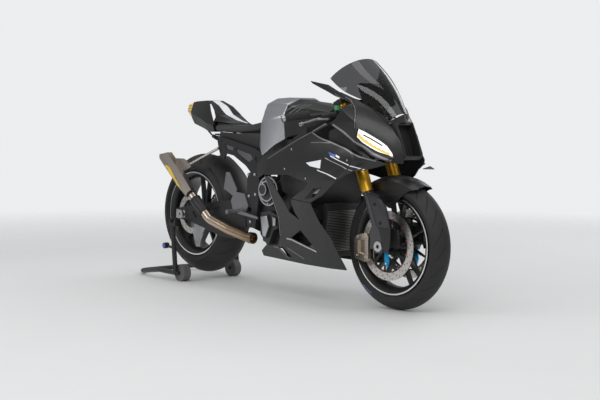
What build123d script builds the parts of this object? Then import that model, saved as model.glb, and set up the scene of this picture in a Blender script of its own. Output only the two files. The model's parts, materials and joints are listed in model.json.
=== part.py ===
from build123d import *
import os
from math import atan2, cos, hypot, radians, sin, sqrt

os.makedirs("parts", exist_ok=True)

# A fully faired sport motorcycle, raised at the back on a paddock stand.
# Millimetres: x forward, y to the left, z up from the floor.
# The tables measure x from just behind the rear axle; X_MID moves the middle to the origin.

# Wheels and steering
FRONT_AXLE = (1465.0, 300.0)
REAR_AXLE = (9.0, 365.0)
RAKE = 22.07
FORK_OFFSET = 28.6
FORK_HALF_SPACING = 105.0
FORK_TUBE_RADIUS, FORK_LEG_RADIUS = 29.0, 22.5
FORK_TUBE_LOW, FORK_TUBE_TOP = 262.0, 722.0
STEM_RADIUS = 15.0
FRONT_RADIUS, FRONT_WIDTH = 300.0, 120.0
REAR_RADIUS, REAR_WIDTH = 326.0, 200.0
TYRE_WALL = 9.0
BEAD_RADIUS, FLANGE_RADIUS = 216.0, 229.0
FRONT_RIM_HALF, REAR_RIM_HALF = 45.0, 76.0
FRONT_DISC_RADIUS, FRONT_DISC_Y = 160.0, 70.0
REAR_DISC_RADIUS, REAR_DISC_Y = 110.0, 103.0
DISC_THICK = 5.0
DISC_SLOT = 7.5
AXLE_RADIUS, AXLE_BORE = 12.5, 6.5
SOCKET_RADIUS, SOCKET_DEPTH = 9.0, 30.0
RUN_GAP = 0.5
WHEEL_SIDES = 48

# Drive and swingarm
CHAIN_Y, SPROCKET_RADIUS, OUTPUT_RADIUS = 114.0, 106.0, 38.0
SPROCKET_TEETH = 44
OUTPUT_SHAFT = (668.0, 425.0)
PIVOT = (590.0, 420.0)
PIVOT_BORE = 14.0
ARM_IN, ARM_OUT = 132.0, 160.0

# Skins, lamps and stands
SKIN = 4.0
FLATNESS = 1e-5
LAMP_INSET, LAMP_DEPTH = 5.0, 18.0
DUCT_INSET = 34.0
ROLLER_RADIUS, ROLLER_Y0, ROLLER_Y1 = 46.0, 152.0, 198.0
ROLLER_X = 23.0
STAND_BACK, STAND_TUBE = -438.0, 12.5
STAND_Y = 214.0
FOOT_PIVOT = (640.0, 179.0, 262.0)
FOOT_PIN = 8.0
X_MID = (FRONT_AXLE[0] + FRONT_RADIUS + STAND_BACK - STAND_TUBE) / 2

# Tread crown from shoulder to centre: share of the drop, share of the half width
CROWN = [(1.0, 1.0), (0.72, 0.86), (0.34, 0.6), (0.08, 0.3), (0.0, 0.0)]


def rake_axis():
    """Unit direction up along the steering axis."""
    return Vector(-sin(radians(RAKE)), 0, cos(radians(RAKE)))


def fork_point(distance, side):
    """A point on a fork leg's centre line, measured up the leg from the axle."""
    start = Vector(FRONT_AXLE[0], side * FORK_HALF_SPACING, FRONT_AXLE[1])
    return start + rake_axis() * distance


def head_point(distance):
    """A point on the steering axis, level with the same distance up the fork legs."""
    back = Vector(cos(radians(RAKE)), 0, sin(radians(RAKE))) * FORK_OFFSET
    start = Vector(FRONT_AXLE[0], 0, FRONT_AXLE[1])
    return start - back + rake_axis() * distance


def head_plane(distance):
    """A plane square to the steering axis: local x forward, local y to the left."""
    x_dir = (cos(radians(RAKE)), 0, sin(radians(RAKE)))
    return Plane(origin=head_point(distance), x_dir=x_dir, z_dir=rake_axis())


def side_plane(y):
    """The side view at a given width: local x forward, local y up."""
    return Plane(origin=(0, y, 0), x_dir=(1, 0, 0), z_dir=(0, -1, 0))


def slab(outline, y_low, y_high):
    """A flat plate: a side outline of (x, z) points between two widths."""
    face = side_plane(y_high) * Polygon(*outline)
    return extrude(face, amount=y_high - y_low, dir=(0, -1, 0))


def box(x0, x1, y0, y1, z0, z1):
    """A block between two corners."""
    return Pos((x0 + x1) / 2, (y0 + y1) / 2, (z0 + z1) / 2) * Box(x1 - x0, y1 - y0, z1 - z0)


def rod(start, end, radius):
    """A round bar between two points."""
    along = Vector(*end) - Vector(*start)
    return Solid.make_cylinder(radius, along.length, Plane(origin=start, z_dir=along))


def lathe(profile, axle):
    """A turned shape about the crosswise axle through (x, z), from (radius, y) points."""
    place = Plane(origin=(axle[0], 0, axle[1]))
    return revolve(place * Polygon(*profile), Axis((axle[0], 0, axle[1]), (0, 1, 0)))


def wheel_ring(profile, axle):
    """A turned ring of wheel size, drawn with flat sides so that its facets stay few."""
    sections = []
    for i in range(WHEEL_SIDES):
        turn = radians(360 / WHEEL_SIDES * i)
        sections.append([(axle[0] + r * cos(turn), y, axle[1] + r * sin(turn)) for r, y in profile])
    return Solid(Shell(side_faces(sections + sections[:1])))


def across(axle, y0, y1, radius):
    """A crosswise cylinder at (x, z)."""
    return rod((axle[0], y0, axle[1]), (axle[0], y1, axle[1]), radius)


def bent_pipe(points, radius, bend):
    """A pipe through points with one bend radius at each inner point."""
    path = FilletPolyline(*points, radius=[bend] * (len(points) - 2))
    return sweep(Plane(origin=points[0], z_dir=path % 0) * Circle(radius), path=path)


def mirrored(shape):
    """The same piece on the other side of the machine."""
    return mirror(shape, about=Plane.XZ)


def both(shape):
    """A left piece with its right twin."""
    return Compound(children=list(shape.solids()) + list(mirrored(shape).solids()))


def offset_line(points, distance):
    """A line of (u, v) points moved to its right-hand side by a distance."""
    moved = []
    for i, (u, v) in enumerate(points):
        u0, v0 = points[max(i - 1, 0)]
        u1, v1 = points[min(i + 1, len(points) - 1)]
        run = hypot(u1 - u0, v1 - v0)
        moved.append((u + (v1 - v0) / run * distance, v - (u1 - u0) / run * distance))
    return moved


def flat_face(*corners):
    """A flat face between corner points."""
    return Face(Wire.make_polygon(corners))


def is_flat(a, b, c, d):
    """Whether four corner points lie in one plane."""
    a, b, c, d = Vector(*a), Vector(*b), Vector(*c), Vector(*d)
    square = (b - a).cross(c - a)
    return square.length > 0 and abs(square.normalized().dot(d - a)) < FLATNESS


def side_faces(rings):
    """The faces between neighbouring rings: flat quads, or triangles with mirrored diagonals."""
    faces = []
    for low, high in zip(rings, rings[1:]):
        count = len(low)
        for i in range(count):
            j = (i + 1) % count
            if is_flat(low[i], low[j], high[j], high[i]):
                faces.append(flat_face(low[i], low[j], high[j], high[i]))
            elif i < count / 2:
                faces.append(flat_face(low[i], low[j], high[j]))
                faces.append(flat_face(low[i], high[j], high[i]))
            else:
                faces.append(flat_face(low[i], low[j], high[i]))
                faces.append(flat_face(low[j], high[j], high[i]))
    return faces


def ring_loft(rings):
    """A closed body through rings of points, joined by flat facets."""
    return Solid(Shell(side_faces(rings) + [flat_face(*rings[0]), flat_face(*rings[-1])]))


def skin_by_height(rows, thickness):
    """A left-hand shell through level sections: rows of (z, [(x, y), ...]) from back to front."""
    rings = []
    for z, line in rows:
        inner = offset_line(line, thickness)
        rings.append([(x, y, z) for x, y in line] + [(x, y, z) for x, y in reversed(inner)])
    return ring_loft(rings)


def hull_by_length(rows):
    """A closed body through crosswise sections: rows of (x, [(half width, z), ...]) upward."""
    rings = []
    for x, half in rows:
        left = [(x, y, z) for y, z in half]
        rings.append(left + [(x, -y, z) for y, z in reversed(half)])
    return ring_loft(rings)


def strip_by_length(rows):
    """A thin left-hand strip through crosswise sections: rows of (x, y out, z out, y in, z in)."""
    rings = []
    for x, y_out, z_out, y_in, z_in in rows:
        low = [(x, y_in, z_in - SKIN), (x, y_out, z_out - SKIN)]
        rings.append([(x, y_out, z_out), (x, y_in, z_in)] + low)
    return ring_loft(rings)


def beam(rows):
    """A left-hand beam through upright sections: rows of (x, y0, y1, z0, z1)."""
    rings = []
    for x, y0, y1, z0, z1 in rows:
        rings.append([(x, y0, z0), (x, y1, z0), (x, y1, z1), (x, y0, z1)])
    return ring_loft(rings)


# Wheels
def tyre(axle, radius, width, rim_half):
    """A tyre with a crowned tread, tapered walls and an open inside that the rim closes."""
    half = width / 2
    drop = 0.34 * width
    tread = [(radius - drop * low, half * out) for low, out in CROWN]
    narrow = (half - TYRE_WALL) / half
    left = [(BEAD_RADIUS, rim_half), (FLANGE_RADIUS + 2, rim_half)] + tread
    left_in = [(BEAD_RADIUS, rim_half - TYRE_WALL)] + [(r - TYRE_WALL, y * narrow) for r, y in tread]
    outer = left + [(r, -y) for r, y in reversed(left[:-1])]
    inner = [(r, -y) for r, y in left_in] + list(reversed(left_in[:-1]))
    return wheel_ring(outer + inner, axle)


def spoke(axle, angle_in, angle_out, sizes):
    """One tapered spoke from the hub to the rim; sizes are (radius, crosswise, along y) twice."""
    spots = []
    for angle, (radius, _, _) in zip((angle_in, angle_out), sizes):
        turn = radians(angle)
        spots.append(Vector(axle[0] + radius * cos(turn), 0, axle[1] + radius * sin(turn)))
    along = spots[1] - spots[0]
    faces = []
    for spot, (_, wide, deep) in zip(spots, sizes):
        faces.append(Plane(origin=spot, x_dir=(0, 1, 0), z_dir=along) * Rectangle(deep, wide))
    return loft(faces, ruled=True)


def rim(axle, rim_half, hub_radius, hub_half, spread):
    """A cast wheel: barrel with flanges, hub, and five pairs of spokes."""
    lip = rim_half + 8
    profile = [(FLANGE_RADIUS, lip), (FLANGE_RADIUS, rim_half), (BEAD_RADIUS, rim_half)]
    profile += [(BEAD_RADIUS, rim_half - 12), (204, rim_half - 20)]
    profile += [(r, -y) for r, y in reversed(profile)]
    inner = [(220, -lip), (204, -rim_half + 4), (196, -rim_half + 22)]
    profile += inner + [(r, -y) for r, y in reversed(inner)]
    wheel = wheel_ring(profile, axle)
    wheel += across(axle, -hub_half, hub_half, hub_radius)
    for i in range(5):
        middle = 90 + 72 * i
        for side in (-1, 1):
            sizes = ((hub_radius - 8, 17, 30), (201, 11, 24))
            wheel += spoke(axle, middle + 16 * side, middle + spread * side, sizes)
    return wheel - across(axle, -hub_half - 1, hub_half + 1, AXLE_RADIUS + RUN_GAP)


def disc(axle, y, radius, band, hub_ring, hub_half, arms):
    """A brake disc: a flat band, thin arms and a ring that bolts to the hub's end."""
    low, high = y - DISC_THICK / 2, y + DISC_THICK / 2
    inside = radius - band
    face = wheel_ring([(radius, low), (radius, high), (inside, high), (inside, low)], axle)
    inner = hub_half if y > 0 else -hub_half
    ring = hub_ring + 14
    face += lathe([(ring, inner), (ring, y), (hub_ring, y), (hub_ring, inner)], axle)
    for i in range(arms):
        turn = radians(360 / arms * i)
        r0, r1 = hub_ring + 8, radius - band + 8
        start = Vector(axle[0] + r0 * cos(turn), y, axle[1] + r0 * sin(turn))
        end = Vector(axle[0] + r1 * cos(turn), y, axle[1] + r1 * sin(turn))
        along = end - start
        bar = Plane(origin=start, x_dir=(0, 1, 0), z_dir=along) * Rectangle(DISC_THICK, 12)
        face += extrude(bar, amount=along.length, dir=along)
    return face


def sprocket():
    """The rear sprocket with its teeth and its carrier."""
    y0, y1 = CHAIN_Y - 3, CHAIN_Y + 3
    root = SPROCKET_RADIUS - 6
    wheel = wheel_ring([(root, y0), (root, y1), (72, y1), (72, y0)], REAR_AXLE)
    centre = Pos(REAR_AXLE[0], CHAIN_Y, REAR_AXLE[1])
    for i in range(SPROCKET_TEETH):
        turn = Rot(0, 360 / SPROCKET_TEETH * i, 0)
        wheel += centre * turn * Pos(SPROCKET_RADIUS - 5, 0, 0) * Box(8, 5, 6)
    return wheel + lathe([(80, 86), (80, y0), (30, y0), (30, 86)], REAR_AXLE)


# Steered pieces
def yokes():
    """Upper and lower fork yokes joined by the steering stem."""
    right = [(40, 0), (62, -70), (56, -140), (0, -140), (2, -78)]
    outline = [(-26, -26), (-26, 26)] + [(x, -y) for x, y in reversed(right)] + right[1:]
    shape = Solid.make_cylinder(STEM_RADIUS, 250, head_plane(462.0))
    for low, high in ((430.0, 470.0), (695.0, 718.0)):
        plate = extrude(head_plane(low) * Polygon(*outline), amount=high - low, dir=rake_axis())
        for y in (FORK_HALF_SPACING, -FORK_HALF_SPACING):
            hole = head_plane(low) * Pos(FORK_OFFSET, y) * Circle(FORK_TUBE_RADIUS)
            plate -= extrude(hole, amount=high - low, dir=rake_axis())
        shape += plate
    return shape


def fork_outer_tubes():
    """The thick upper tubes of the upside-down fork."""
    tubes = []
    for side in (1, -1):
        low, top = fork_point(FORK_TUBE_LOW, side), fork_point(FORK_TUBE_TOP, side)
        tubes.append(rod(low, top, FORK_TUBE_RADIUS))
    return Compound(children=tubes)


def fork_lower_legs():
    """Sliding inner tubes with cast feet that clamp the axle and carry the calipers."""
    leg = rod(fork_point(60, 1), fork_point(FORK_TUBE_LOW, 1), FORK_LEG_RADIUS)
    foot = [(1429, 292), (1443, 268), (1479, 270), (1495, 300)]
    foot += [(1469, 396), (1431, 400), (1403, 370), (1403, 346)]
    leg += slab(foot, 81, 128)
    leg += slab([(1403, 370), (1403, 346), (1429, 285), (1400, 285)], 81, 122)
    leg += slab([(1480, 384), (1545, 378), (1550, 302), (1482, 292)], 81, 93)
    return both(leg - across(FRONT_AXLE, 80, 129, AXLE_RADIUS))


def front_axle():
    """The hollow front axle with its spacers, its ring nut and a wider socket at each end."""
    right_end, left_end = -139.0, 137.0
    shaft = across(FRONT_AXLE, -134, 134, AXLE_RADIUS)
    for side in (1, -1):
        shaft += across(FRONT_AXLE, side * 60.5, side * 81, 19)
    shaft += across(FRONT_AXLE, right_end, -128, 24)
    shaft += across(FRONT_AXLE, 128, left_end, 20)
    shaft -= across(FRONT_AXLE, right_end, right_end + SOCKET_DEPTH, SOCKET_RADIUS)
    shaft -= across(FRONT_AXLE, left_end - SOCKET_DEPTH, left_end, SOCKET_RADIUS)
    return shaft - across(FRONT_AXLE, right_end - 1, left_end + 1, AXLE_BORE)


def front_calipers():
    """Radial four-piston calipers: two halves over the disc, joined behind it."""
    outline = [(1273, 256), (1284, 232), (1346, 217), (1366, 231)]
    outline += [(1368, 334), (1352, 352), (1294, 341), (1276, 322)]
    block = slab(outline, 53, 100)
    block -= box(1293, 1420, FRONT_DISC_Y - DISC_SLOT, FRONT_DISC_Y + DISC_SLOT, 190, 400)
    block -= slab([(1300, 258), (1344, 250), (1346, 322), (1300, 314)], 90, 101)
    block -= slab([(1262, 268), (1282, 266), (1282, 308), (1262, 306)], 60, 93)
    return both(block)


def front_mudguard():
    """The front mudguard with side points beside the wheel and plates over the fork legs."""
    # columns: radius, half width
    shell = [(322, 0), (316, 40), (296, 66), (168, 70)]
    inside = [(168, 67), (294, 63), (313, 37), (319, 0)]
    ring = wheel_ring(shell + inside, FRONT_AXLE)
    trim = [(1262, 548), (1336, 545), (1395, 548), (1432, 500), (1462, 474), (1497, 470), (1519, 505)]
    trim += [(1553, 536), (1592, 556), (1626, 562), (1640, 700), (1250, 700)]
    crown = ring & slab(trim, -1, 80)
    guard = [(1382, 549), (1487, 516), (1519, 481), (1545, 386), (1462, 385), (1402, 517)]
    plate = slab(guard, 134.5, 138)
    plate += slab([(1462, 398), (1541, 398), (1540, 330), (1529, 278), (1503, 276)], 130.5, 135)
    plate += slab([(1412, 548), (1470, 532), (1474, 500), (1430, 506)], 67, 135)
    left = crown + plate
    return left + mirrored(left)


def handlebars():
    """Clip-on bars clamped to the fork legs, with rubber grips."""
    leg = fork_point(650, 1)
    bar = rod(fork_point(634, 1), fork_point(666, 1), 38)
    end = (1071, 372, 877)
    bar += rod((leg.X - 8, leg.Y + 34, leg.Z), end, 11)
    bar -= rod(fork_point(630, 1), fork_point(670, 1), FORK_TUBE_RADIUS)
    bar += rod((1135, 260, 914 - 13), (1078, 360, 881), 16.5)
    bar += rod((1078, 360, 881), end, 18)
    return both(bar)


def hand_controls():
    """Brake and clutch masters with their ball-ended levers and fluid pots."""
    master = rod((1224, 170, 899), (1190, 236, 889), 12)
    master += rod((1222, 190, 898), (1180, 192, 897), 8)
    master += rod((1210, 200, 895), (1210, 200, 872), 9)
    lever = rod((1210, 200, 878), (1186, 255, 877), 6)
    lever += rod((1186, 255, 877), (1182, 350, 853), 5)
    lever += chamfer(rod((1182, 343, 855), (1182, 357, 851), 8).edges(), 3)
    pot = rod((1222, 160, 918), (1222, 160, 944), 15)
    pot += rod((1222, 166, 922), (1221, 180, 899), 7)
    return both(master + lever + pot)


# Frame and engine
def stand_pin(low, high, radius):
    """A round bar along the side stand's pivot, between two distances inward."""
    along = Vector(0.1641, -0.9806, -0.107)
    start = Vector(*FOOT_PIVOT) + along * low
    return Solid.make_cylinder(radius, high - low, Plane(origin=start, z_dir=along))


def main_frame():
    """Cast twin-spar frame with its steering head and swingarm plates."""
    # columns: x, inner y, outer y, low z, high z
    spar = beam(
        [
            (1150, 28, 56, 790, 884),
            (1050, 170, 198, 690, 838),
            (900, 182, 208, 615, 745),
            (740, 172, 200, 608, 700),
            (652, 143, 171, 580, 650),
        ]
    )
    outline = [(566, 470), (575, 600), (652, 640), (668, 600)]
    outline += [(660, 470), (634, 330), (572, 330), (562, 390)]
    plate = slab(outline, 142, 170)
    left = spar + plate - across(PIVOT, 120, 180, PIVOT_BORE)
    frame = left + mirrored(left)
    frame += slab([(600, 335), (634, 335), (660, 262), (640, 240), (620, 262)], 148, 163)
    frame += stand_pin(-16, 28, FOOT_PIN)
    frame += Solid.make_cylinder(36, 190, head_plane(488.0))
    head = [(1226, 780), (1150, 786), (1126, 810), (1126, 850), (1150, 886), (1196, 886)]
    frame += slab(head, -58, 58)
    frame -= Solid.make_cylinder(STEM_RADIUS + RUN_GAP, 400, head_plane(440.0))
    frame -= Solid.make_cylinder(22, 142, head_plane(512.0))
    return frame + box(570, 600, -142, 142, 480, 520)


def engine():
    """Inline four: crankcase, leaning cylinders and head, sump and side covers."""
    front = [(800, 560), (1050, 470), (1085, 400), (1060, 290), (960, 240)]
    case = slab([(700, 240), (640, 300), (640, 470), (700, 540)] + front, -140, 92)
    case += slab([(728, 260), (728, 540)] + front, 90, 140)
    case += slab([(800, 540), (870, 700), (1010, 740), (1070, 640), (1050, 450)], -165, 165)
    # starter cover with its raised cap
    case += across((748, 522), -180, -140, 74)
    case += across((748, 522), -192, -179, 52)
    case += across((730, 530), -202, -191, 30)
    # stepped cast cover low on the right
    cover = [(689, 412), (760, 424), (822, 404), (820, 344)]
    cover += [(786, 330), (752, 258), (706, 272), (698, 340)]
    case += slab(cover, -178, -140)
    case += slab([(700, 396), (752, 404), (770, 350), (742, 290), (716, 296), (708, 340)], -190, -177)
    case += slab([(786, 400), (815, 392), (812, 352), (790, 348)], -186, -177)
    # clutch and generator covers
    case += across((960, 400), -176, -140, 70)
    case += across((960, 400), -186, -175, 40)
    return case + across((960, 400), 139, 180, 74)


def radiator():
    """The water radiator with its top and bottom tanks."""
    core = slab([(1118, 232), (1094, 236), (1134, 460), (1158, 456)], -160, 160)
    core += slab([(1154, 450), (1126, 452), (1134, 480), (1164, 478)], -164, 164)
    return core + slab([(1120, 218), (1090, 220), (1092, 242), (1122, 240)], -164, 164)


def subframe():
    """Flat-sided rear subframe under the seat, with a tail plate for a bracket."""
    outline = [(272, 786), (330, 780), (560, 732), (640, 706)]
    outline += [(650, 660), (612, 610), (590, 545), (566, 545)]
    outline += [(560, 590), (500, 640), (400, 690), (338, 700)]
    outline += [(320, 672), (292, 676), (270, 736), (262, 770)]
    side = slab(outline, 112, 121)
    side -= slab([(330, 750), (398, 736), (392, 712), (350, 718), (336, 726)], 117, 122)
    side -= slab([(420, 730), (540, 702), (560, 676), (520, 656), (426, 704)], 117, 122)
    side -= slab([(580, 690), (620, 676), (606, 640), (586, 640), (576, 670)], 117, 122)
    side += rod((158, 66, 788), (300, 114, 762), 10)
    side += box(612, 650, 112, 146, 640, 660)
    frame = side + mirrored(side) + rod((330, -114, 760), (330, 114, 760), 9)
    plate = box(150, 230, -68, 68, 786, 791)
    for x in (160, 220):
        for y in (-25, 25):
            plate -= rod((x, y, 780), (x, y, 800), 3.2)
    return frame + plate


# Tank, seat and tail
def fuel_tank():
    """The bare metal tank: narrow at the rider's knees, flanks down to the frame."""
    # columns: x, then half width and height upward
    rows = [
        (548, [(44, 806), (52, 860), (34, 925), (14, 940)]),
        (604, [(94, 760), (100, 860), (64, 942), (30, 968)]),
        (638, [(144, 734), (136, 850), (92, 952), (40, 976)]),
        (668, [(156, 694), (160, 860), (118, 954), (50, 983)]),
        (760, [(150, 745), (170, 880), (134, 955), (52, 986)]),
        (840, [(150, 778), (166, 892), (134, 952), (52, 984)]),
    ]
    return hull_by_length(rows)


def tank_cover():
    """The black airbox cover ahead of the tank, stepped down from its edge."""
    rows = [
        (841, [(148, 780), (162, 888), (130, 946), (52, 978)]),
        (868, [(146, 790), (152, 888), (118, 934), (50, 966)]),
        (960, [(124, 806), (136, 880), (108, 930), (48, 958)]),
        (1080, [(84, 850), (92, 880), (80, 912), (40, 930)]),
    ]
    return hull_by_length(rows)


def seat():
    """The rider's pad, dished in the middle and rising against the tank."""
    rows = [
        (212, [(96, 812), (108, 836), (88, 858)]),
        (330, [(112, 808), (128, 826), (98, 846)]),
        (436, [(98, 804), (110, 820), (84, 842)]),
        (540, [(52, 806), (62, 828), (44, 862)]),
    ]
    return hull_by_length(rows)


def tail_cowl():
    """The tail: a tall hump behind the seat with a tongue that runs forward over the pad."""
    rows = [
        (-61, [(46, 884), (56, 918), (34, 974)]),
        (-20, [(60, 856), (72, 908), (40, 978)]),
        (90, [(78, 830), (104, 884), (54, 981)]),
        (160, [(96, 812), (114, 858), (66, 950)]),
        (211, [(100, 812), (112, 846), (80, 906)]),
    ]
    tongue = [
        (208, [(98, 864), (104, 870), (80, 906)]),
        (300, [(66, 853), (70, 858), (50, 872)]),
        (372, [(24, 849), (28, 852), (14, 856)]),
    ]
    return hull_by_length(rows) + hull_by_length(tongue)


def seat_base():
    """The tray below the pad."""
    return hull_by_length([(212, [(98, 794), (100, 803)]), (480, [(80, 790), (84, 799)])])


def tail_lamp():
    """The tail lamp that wraps round the end of the tail."""
    rows = [(-120, [(24, 912), (33, 930), (24, 960)]), (-62, [(44, 888), (54, 918), (33, 972)])]
    return hull_by_length(rows)


# Rear end
def swingarm():
    """Deep braced swingarm with slots for the rear axle."""
    outline = [(-50, 338), (-50, 394), (60, 412), (330, 452), (540, 468), (550, 330), (520, 290)]
    outline += [(430, 262), (330, 268), (200, 300), (70, 330)]
    arm = slab(outline, ARM_IN, ARM_OUT) + slab(outline, -ARM_OUT, -ARM_IN)
    arm -= slab([(120, 350), (330, 392), (330, 420), (90, 382)], -ARM_OUT - 1, -ARM_OUT + 6)
    arm += box(390, 545, -ARM_IN, 98, 330, 440)
    arm += box(400, 540, 96, ARM_IN, 386, 440)
    arm += across(PIVOT, -136, 136, 30)
    arm += box(530, 580, -ARM_IN, 98, 392, 440)
    arm -= across(PIVOT, -170, 170, PIVOT_BORE)
    return arm - across(REAR_AXLE, -170, 170, AXLE_RADIUS)


def rear_axle():
    """The rear axle with spacers, adjuster blocks and its large hollow nut."""
    shaft = across(REAR_AXLE, -176, 172, AXLE_RADIUS)
    shaft += across(REAR_AXLE, -ARM_IN, -112.5, 20)
    shaft += across(REAR_AXLE, 118.5, ARM_IN, 20)
    shaft += across(REAR_AXLE, -184, -160, 25)
    shaft += across(REAR_AXLE, 160, 178, 25)
    block = slab([(-44, 342), (-44, 388), (34, 388), (34, 342)], ARM_OUT, 168)
    return shaft + block + mirrored(block) - across(REAR_AXLE, -190, 190, 7)


def rear_caliper():
    """The rear caliper on its bracket below the swingarm."""
    block = slab([(46, 262), (58, 312), (120, 312), (138, 262), (112, 226), (104, 190), (72, 190)], -122, -84)
    block -= box(0, 118, -REAR_DISC_Y - DISC_SLOT, -REAR_DISC_Y + DISC_SLOT, 236, 340)
    return block + slab([(118, 262), (124, 305), (160, 330), (176, 312), (138, 262)], -130, -84)


def rear_hugger():
    """The rear mudguard over the front of the tyre."""
    x, z = REAR_AXLE
    profile = [(342, 0), (336, 60), (304, 102), (301, 99), (333, 58), (339, 0)]
    ring = wheel_ring(profile, REAR_AXLE)
    wedge = [(x, z), (x + 420, z + 60), (x + 380, z + 300), (x + 160, z + 420)]
    half = ring & slab(wedge, -1, 130)
    return half + mirrored(half)


def belt(rear, front, y0, y1):
    """The outline round the two sprockets at given radii, as a plate."""
    x0, z0 = REAR_AXLE
    x1, z1 = OUTPUT_SHAFT
    span = hypot(x1 - x0, z1 - z0)
    tilt = atan2(z1 - z0, x1 - x0)
    lean = atan2(sqrt(span**2 - (rear - front) ** 2), rear - front)
    ends = []
    for (x, z), radius in (((x0, z0), rear), ((x1, z1), front)):
        top = (x + radius * cos(tilt + lean), z + radius * sin(tilt + lean))
        low = (x + radius * cos(tilt - lean), z + radius * sin(tilt - lean))
        ends.append((top, low))
    (rear_top, rear_low), (front_top, front_low) = ends
    back = (x0 - rear * cos(tilt), z0 - rear * sin(tilt))
    nose = (x1 + front * cos(tilt), z1 + front * sin(tilt))
    edges = [
        Line(rear_top, front_top),
        ThreePointArc(front_top, nose, front_low),
        Line(front_low, rear_low),
        ThreePointArc(rear_low, back, rear_top),
    ]
    return extrude(side_plane(y1) * make_face(edges), amount=y1 - y0, dir=(0, -1, 0))


def chain():
    """The drive chain as one loop round both sprockets."""
    y0, y1 = CHAIN_Y - 9, CHAIN_Y + 9
    outer = belt(SPROCKET_RADIUS + 14, OUTPUT_RADIUS + 12, y0, y1)
    return outer - belt(SPROCKET_RADIUS + 2, OUTPUT_RADIUS + 1, y0 - 1, y1 + 1)


def rear_shock():
    """The spring and damper behind the engine."""
    return rod((470, 0, 452), (540, 0, 690), 32)


def exhaust_pipe():
    """The link pipe with its open end, a clamp and a sleeve at the silencer."""
    points = [(640, -184, 280), (600, -188, 282), (450, -192, 310)]
    points += [(300, -200, 356), (162, -211, 474)]
    pipe = bent_pipe(points, 25, 80)
    pipe += rod((640, -184, 280), (612, -187, 281.2), 29)
    pipe += rod((256, -203.5, 393), (186, -209, 453), 29)
    return pipe - rod((650, -183, 279.5), (612, -187, 281.2), 22)


def silencer():
    """The slim eight-sided silencer, slashed upright at the back, with its hanger."""
    start = Vector(150, -212, 484)
    along = Vector(-0.758, 0, 0.652)
    rings = []
    # columns: distance along, half size crosswise, half size upright
    for distance, half_y, half_z in [(0, 27, 27), (40, 31, 32), (110, 35, 37), (420, 35, 37)]:
        place = Plane(origin=start + along * distance, x_dir=(0, 1, 0), z_dir=along)
        ring = [(-half_y, -half_z * 0.45), (-half_y * 0.45, -half_z)]
        ring += [(half_y * 0.45, -half_z), (half_y, -half_z * 0.45)]
        ring += [(-u, -v) for u, v in ring]
        rings.append([place.from_local_coords((u, v, 0)) for u, v in ring])
    body = ring_loft(rings)
    body -= box(-300, -89, -300, -100, 560, 900)
    body -= slab([(-160, 676), (-60, 694), (40, 730), (40, 900), (-160, 900)], -300, -100)
    mouth = Solid.make_cylinder(22, 60, Plane(origin=start + along * 290, z_dir=along))
    bracket = slab([(0, 612), (-6, 668), (60, 668), (108, 648), (128, 629), (72, 604)], -200, -190)
    hanger = rod((108, -194, 636), (284, -131, 726), 7)
    return body - mouth + bracket + hanger


# Foot controls and stands
def footrests():
    """Rider footrests: bracket plate, heel plate, peg and pedal on each side."""
    bracket = slab([(470, 400), (450, 462), (480, 508), (560, 500), (590, 440), (560, 396)], 171, 179)
    bracket += slab([(392, 520), (410, 606), (440, 606), (500, 520), (480, 480)], 175, 179)
    bracket += rod((520, 178, 410), (520, 262, 410), 11)
    bracket += slab([(520, 400), (690, 380), (690, 391), (520, 419)], 194, 201)
    return both(bracket)


def paddock_stand():
    """The rear stand: two side arms, a back bar, spool cups, roller axles and lock knobs."""
    r = STAND_TUBE
    bends = [(ROLLER_X, STAND_Y + 1, ROLLER_RADIUS), (-140, STAND_Y, 50)]
    bends += [(-340, 190, 24), (STAND_BACK, 110, r), (STAND_BACK, 0, r)]
    arm = bent_pipe(bends, r, 60)
    arm += rod((10, STAND_Y, 50), (-12, STAND_Y, 300), 13)
    cup = [(-40, 300), (-40, 338), (-28, 338), (-24, 318)]
    cup += [(4, 318), (8, 338), (20, 338), (20, 300)]
    arm += slab(cup, 196, 222)
    arm += across((ROLLER_X, ROLLER_RADIUS), ROLLER_Y0 - 8, 216, 8)
    arm += rod((0, STAND_Y, 180), (-72, STAND_Y, 190), 7)
    arm += across((-72, 190), STAND_Y - 9, STAND_Y + 17, 16)
    return arm + mirrored(arm)


def roller(side):
    """One stand roller."""
    r = ROLLER_RADIUS
    profile = [(r, ROLLER_Y0), (r, ROLLER_Y1), (8.5, ROLLER_Y1), (8.5, ROLLER_Y0)]
    return lathe([(radius, side * y) for radius, y in profile], (ROLLER_X, r))


def side_stand():
    """The folding side stand, folded back along the left side."""
    stand = rod((640, 184, 262), (425, 200, 222), 11)
    stand += stand_pin(-14, 10, 20)
    stand += slab([(395, 214), (432, 240), (440, 228), (402, 202)], 184, 218)
    return stand - stand_pin(-40, 40, FOOT_PIN + RUN_GAP)


# Bodywork
SIDE_ROWS = [
    (176, [(640, 124), (850, 142), (1050, 160), (1180, 170), (1260, 171), (1330, 168)]),
    (250, [(640, 138), (850, 166), (1050, 184), (1180, 192), (1260, 190), (1330, 184)]),
    (400, [(640, 168), (850, 196), (1050, 220), (1180, 224), (1260, 216), (1330, 204)]),
    (500, [(640, 196), (850, 222), (1050, 244), (1180, 246), (1260, 240), (1330, 232)]),
    (600, [(740, 230), (850, 240), (1050, 264), (1200, 266), (1330, 254), (1440, 226)]),
    (690, [(740, 218), (850, 236), (1050, 268), (1240, 270), (1400, 232), (1540, 104)]),
    (760, [(760, 214), (900, 232), (1050, 258), (1230, 264), (1390, 216), (1530, 98)]),
    (880, [(860, 214), (980, 226), (1100, 244), (1240, 250), (1380, 200), (1500, 90)]),
]


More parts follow.
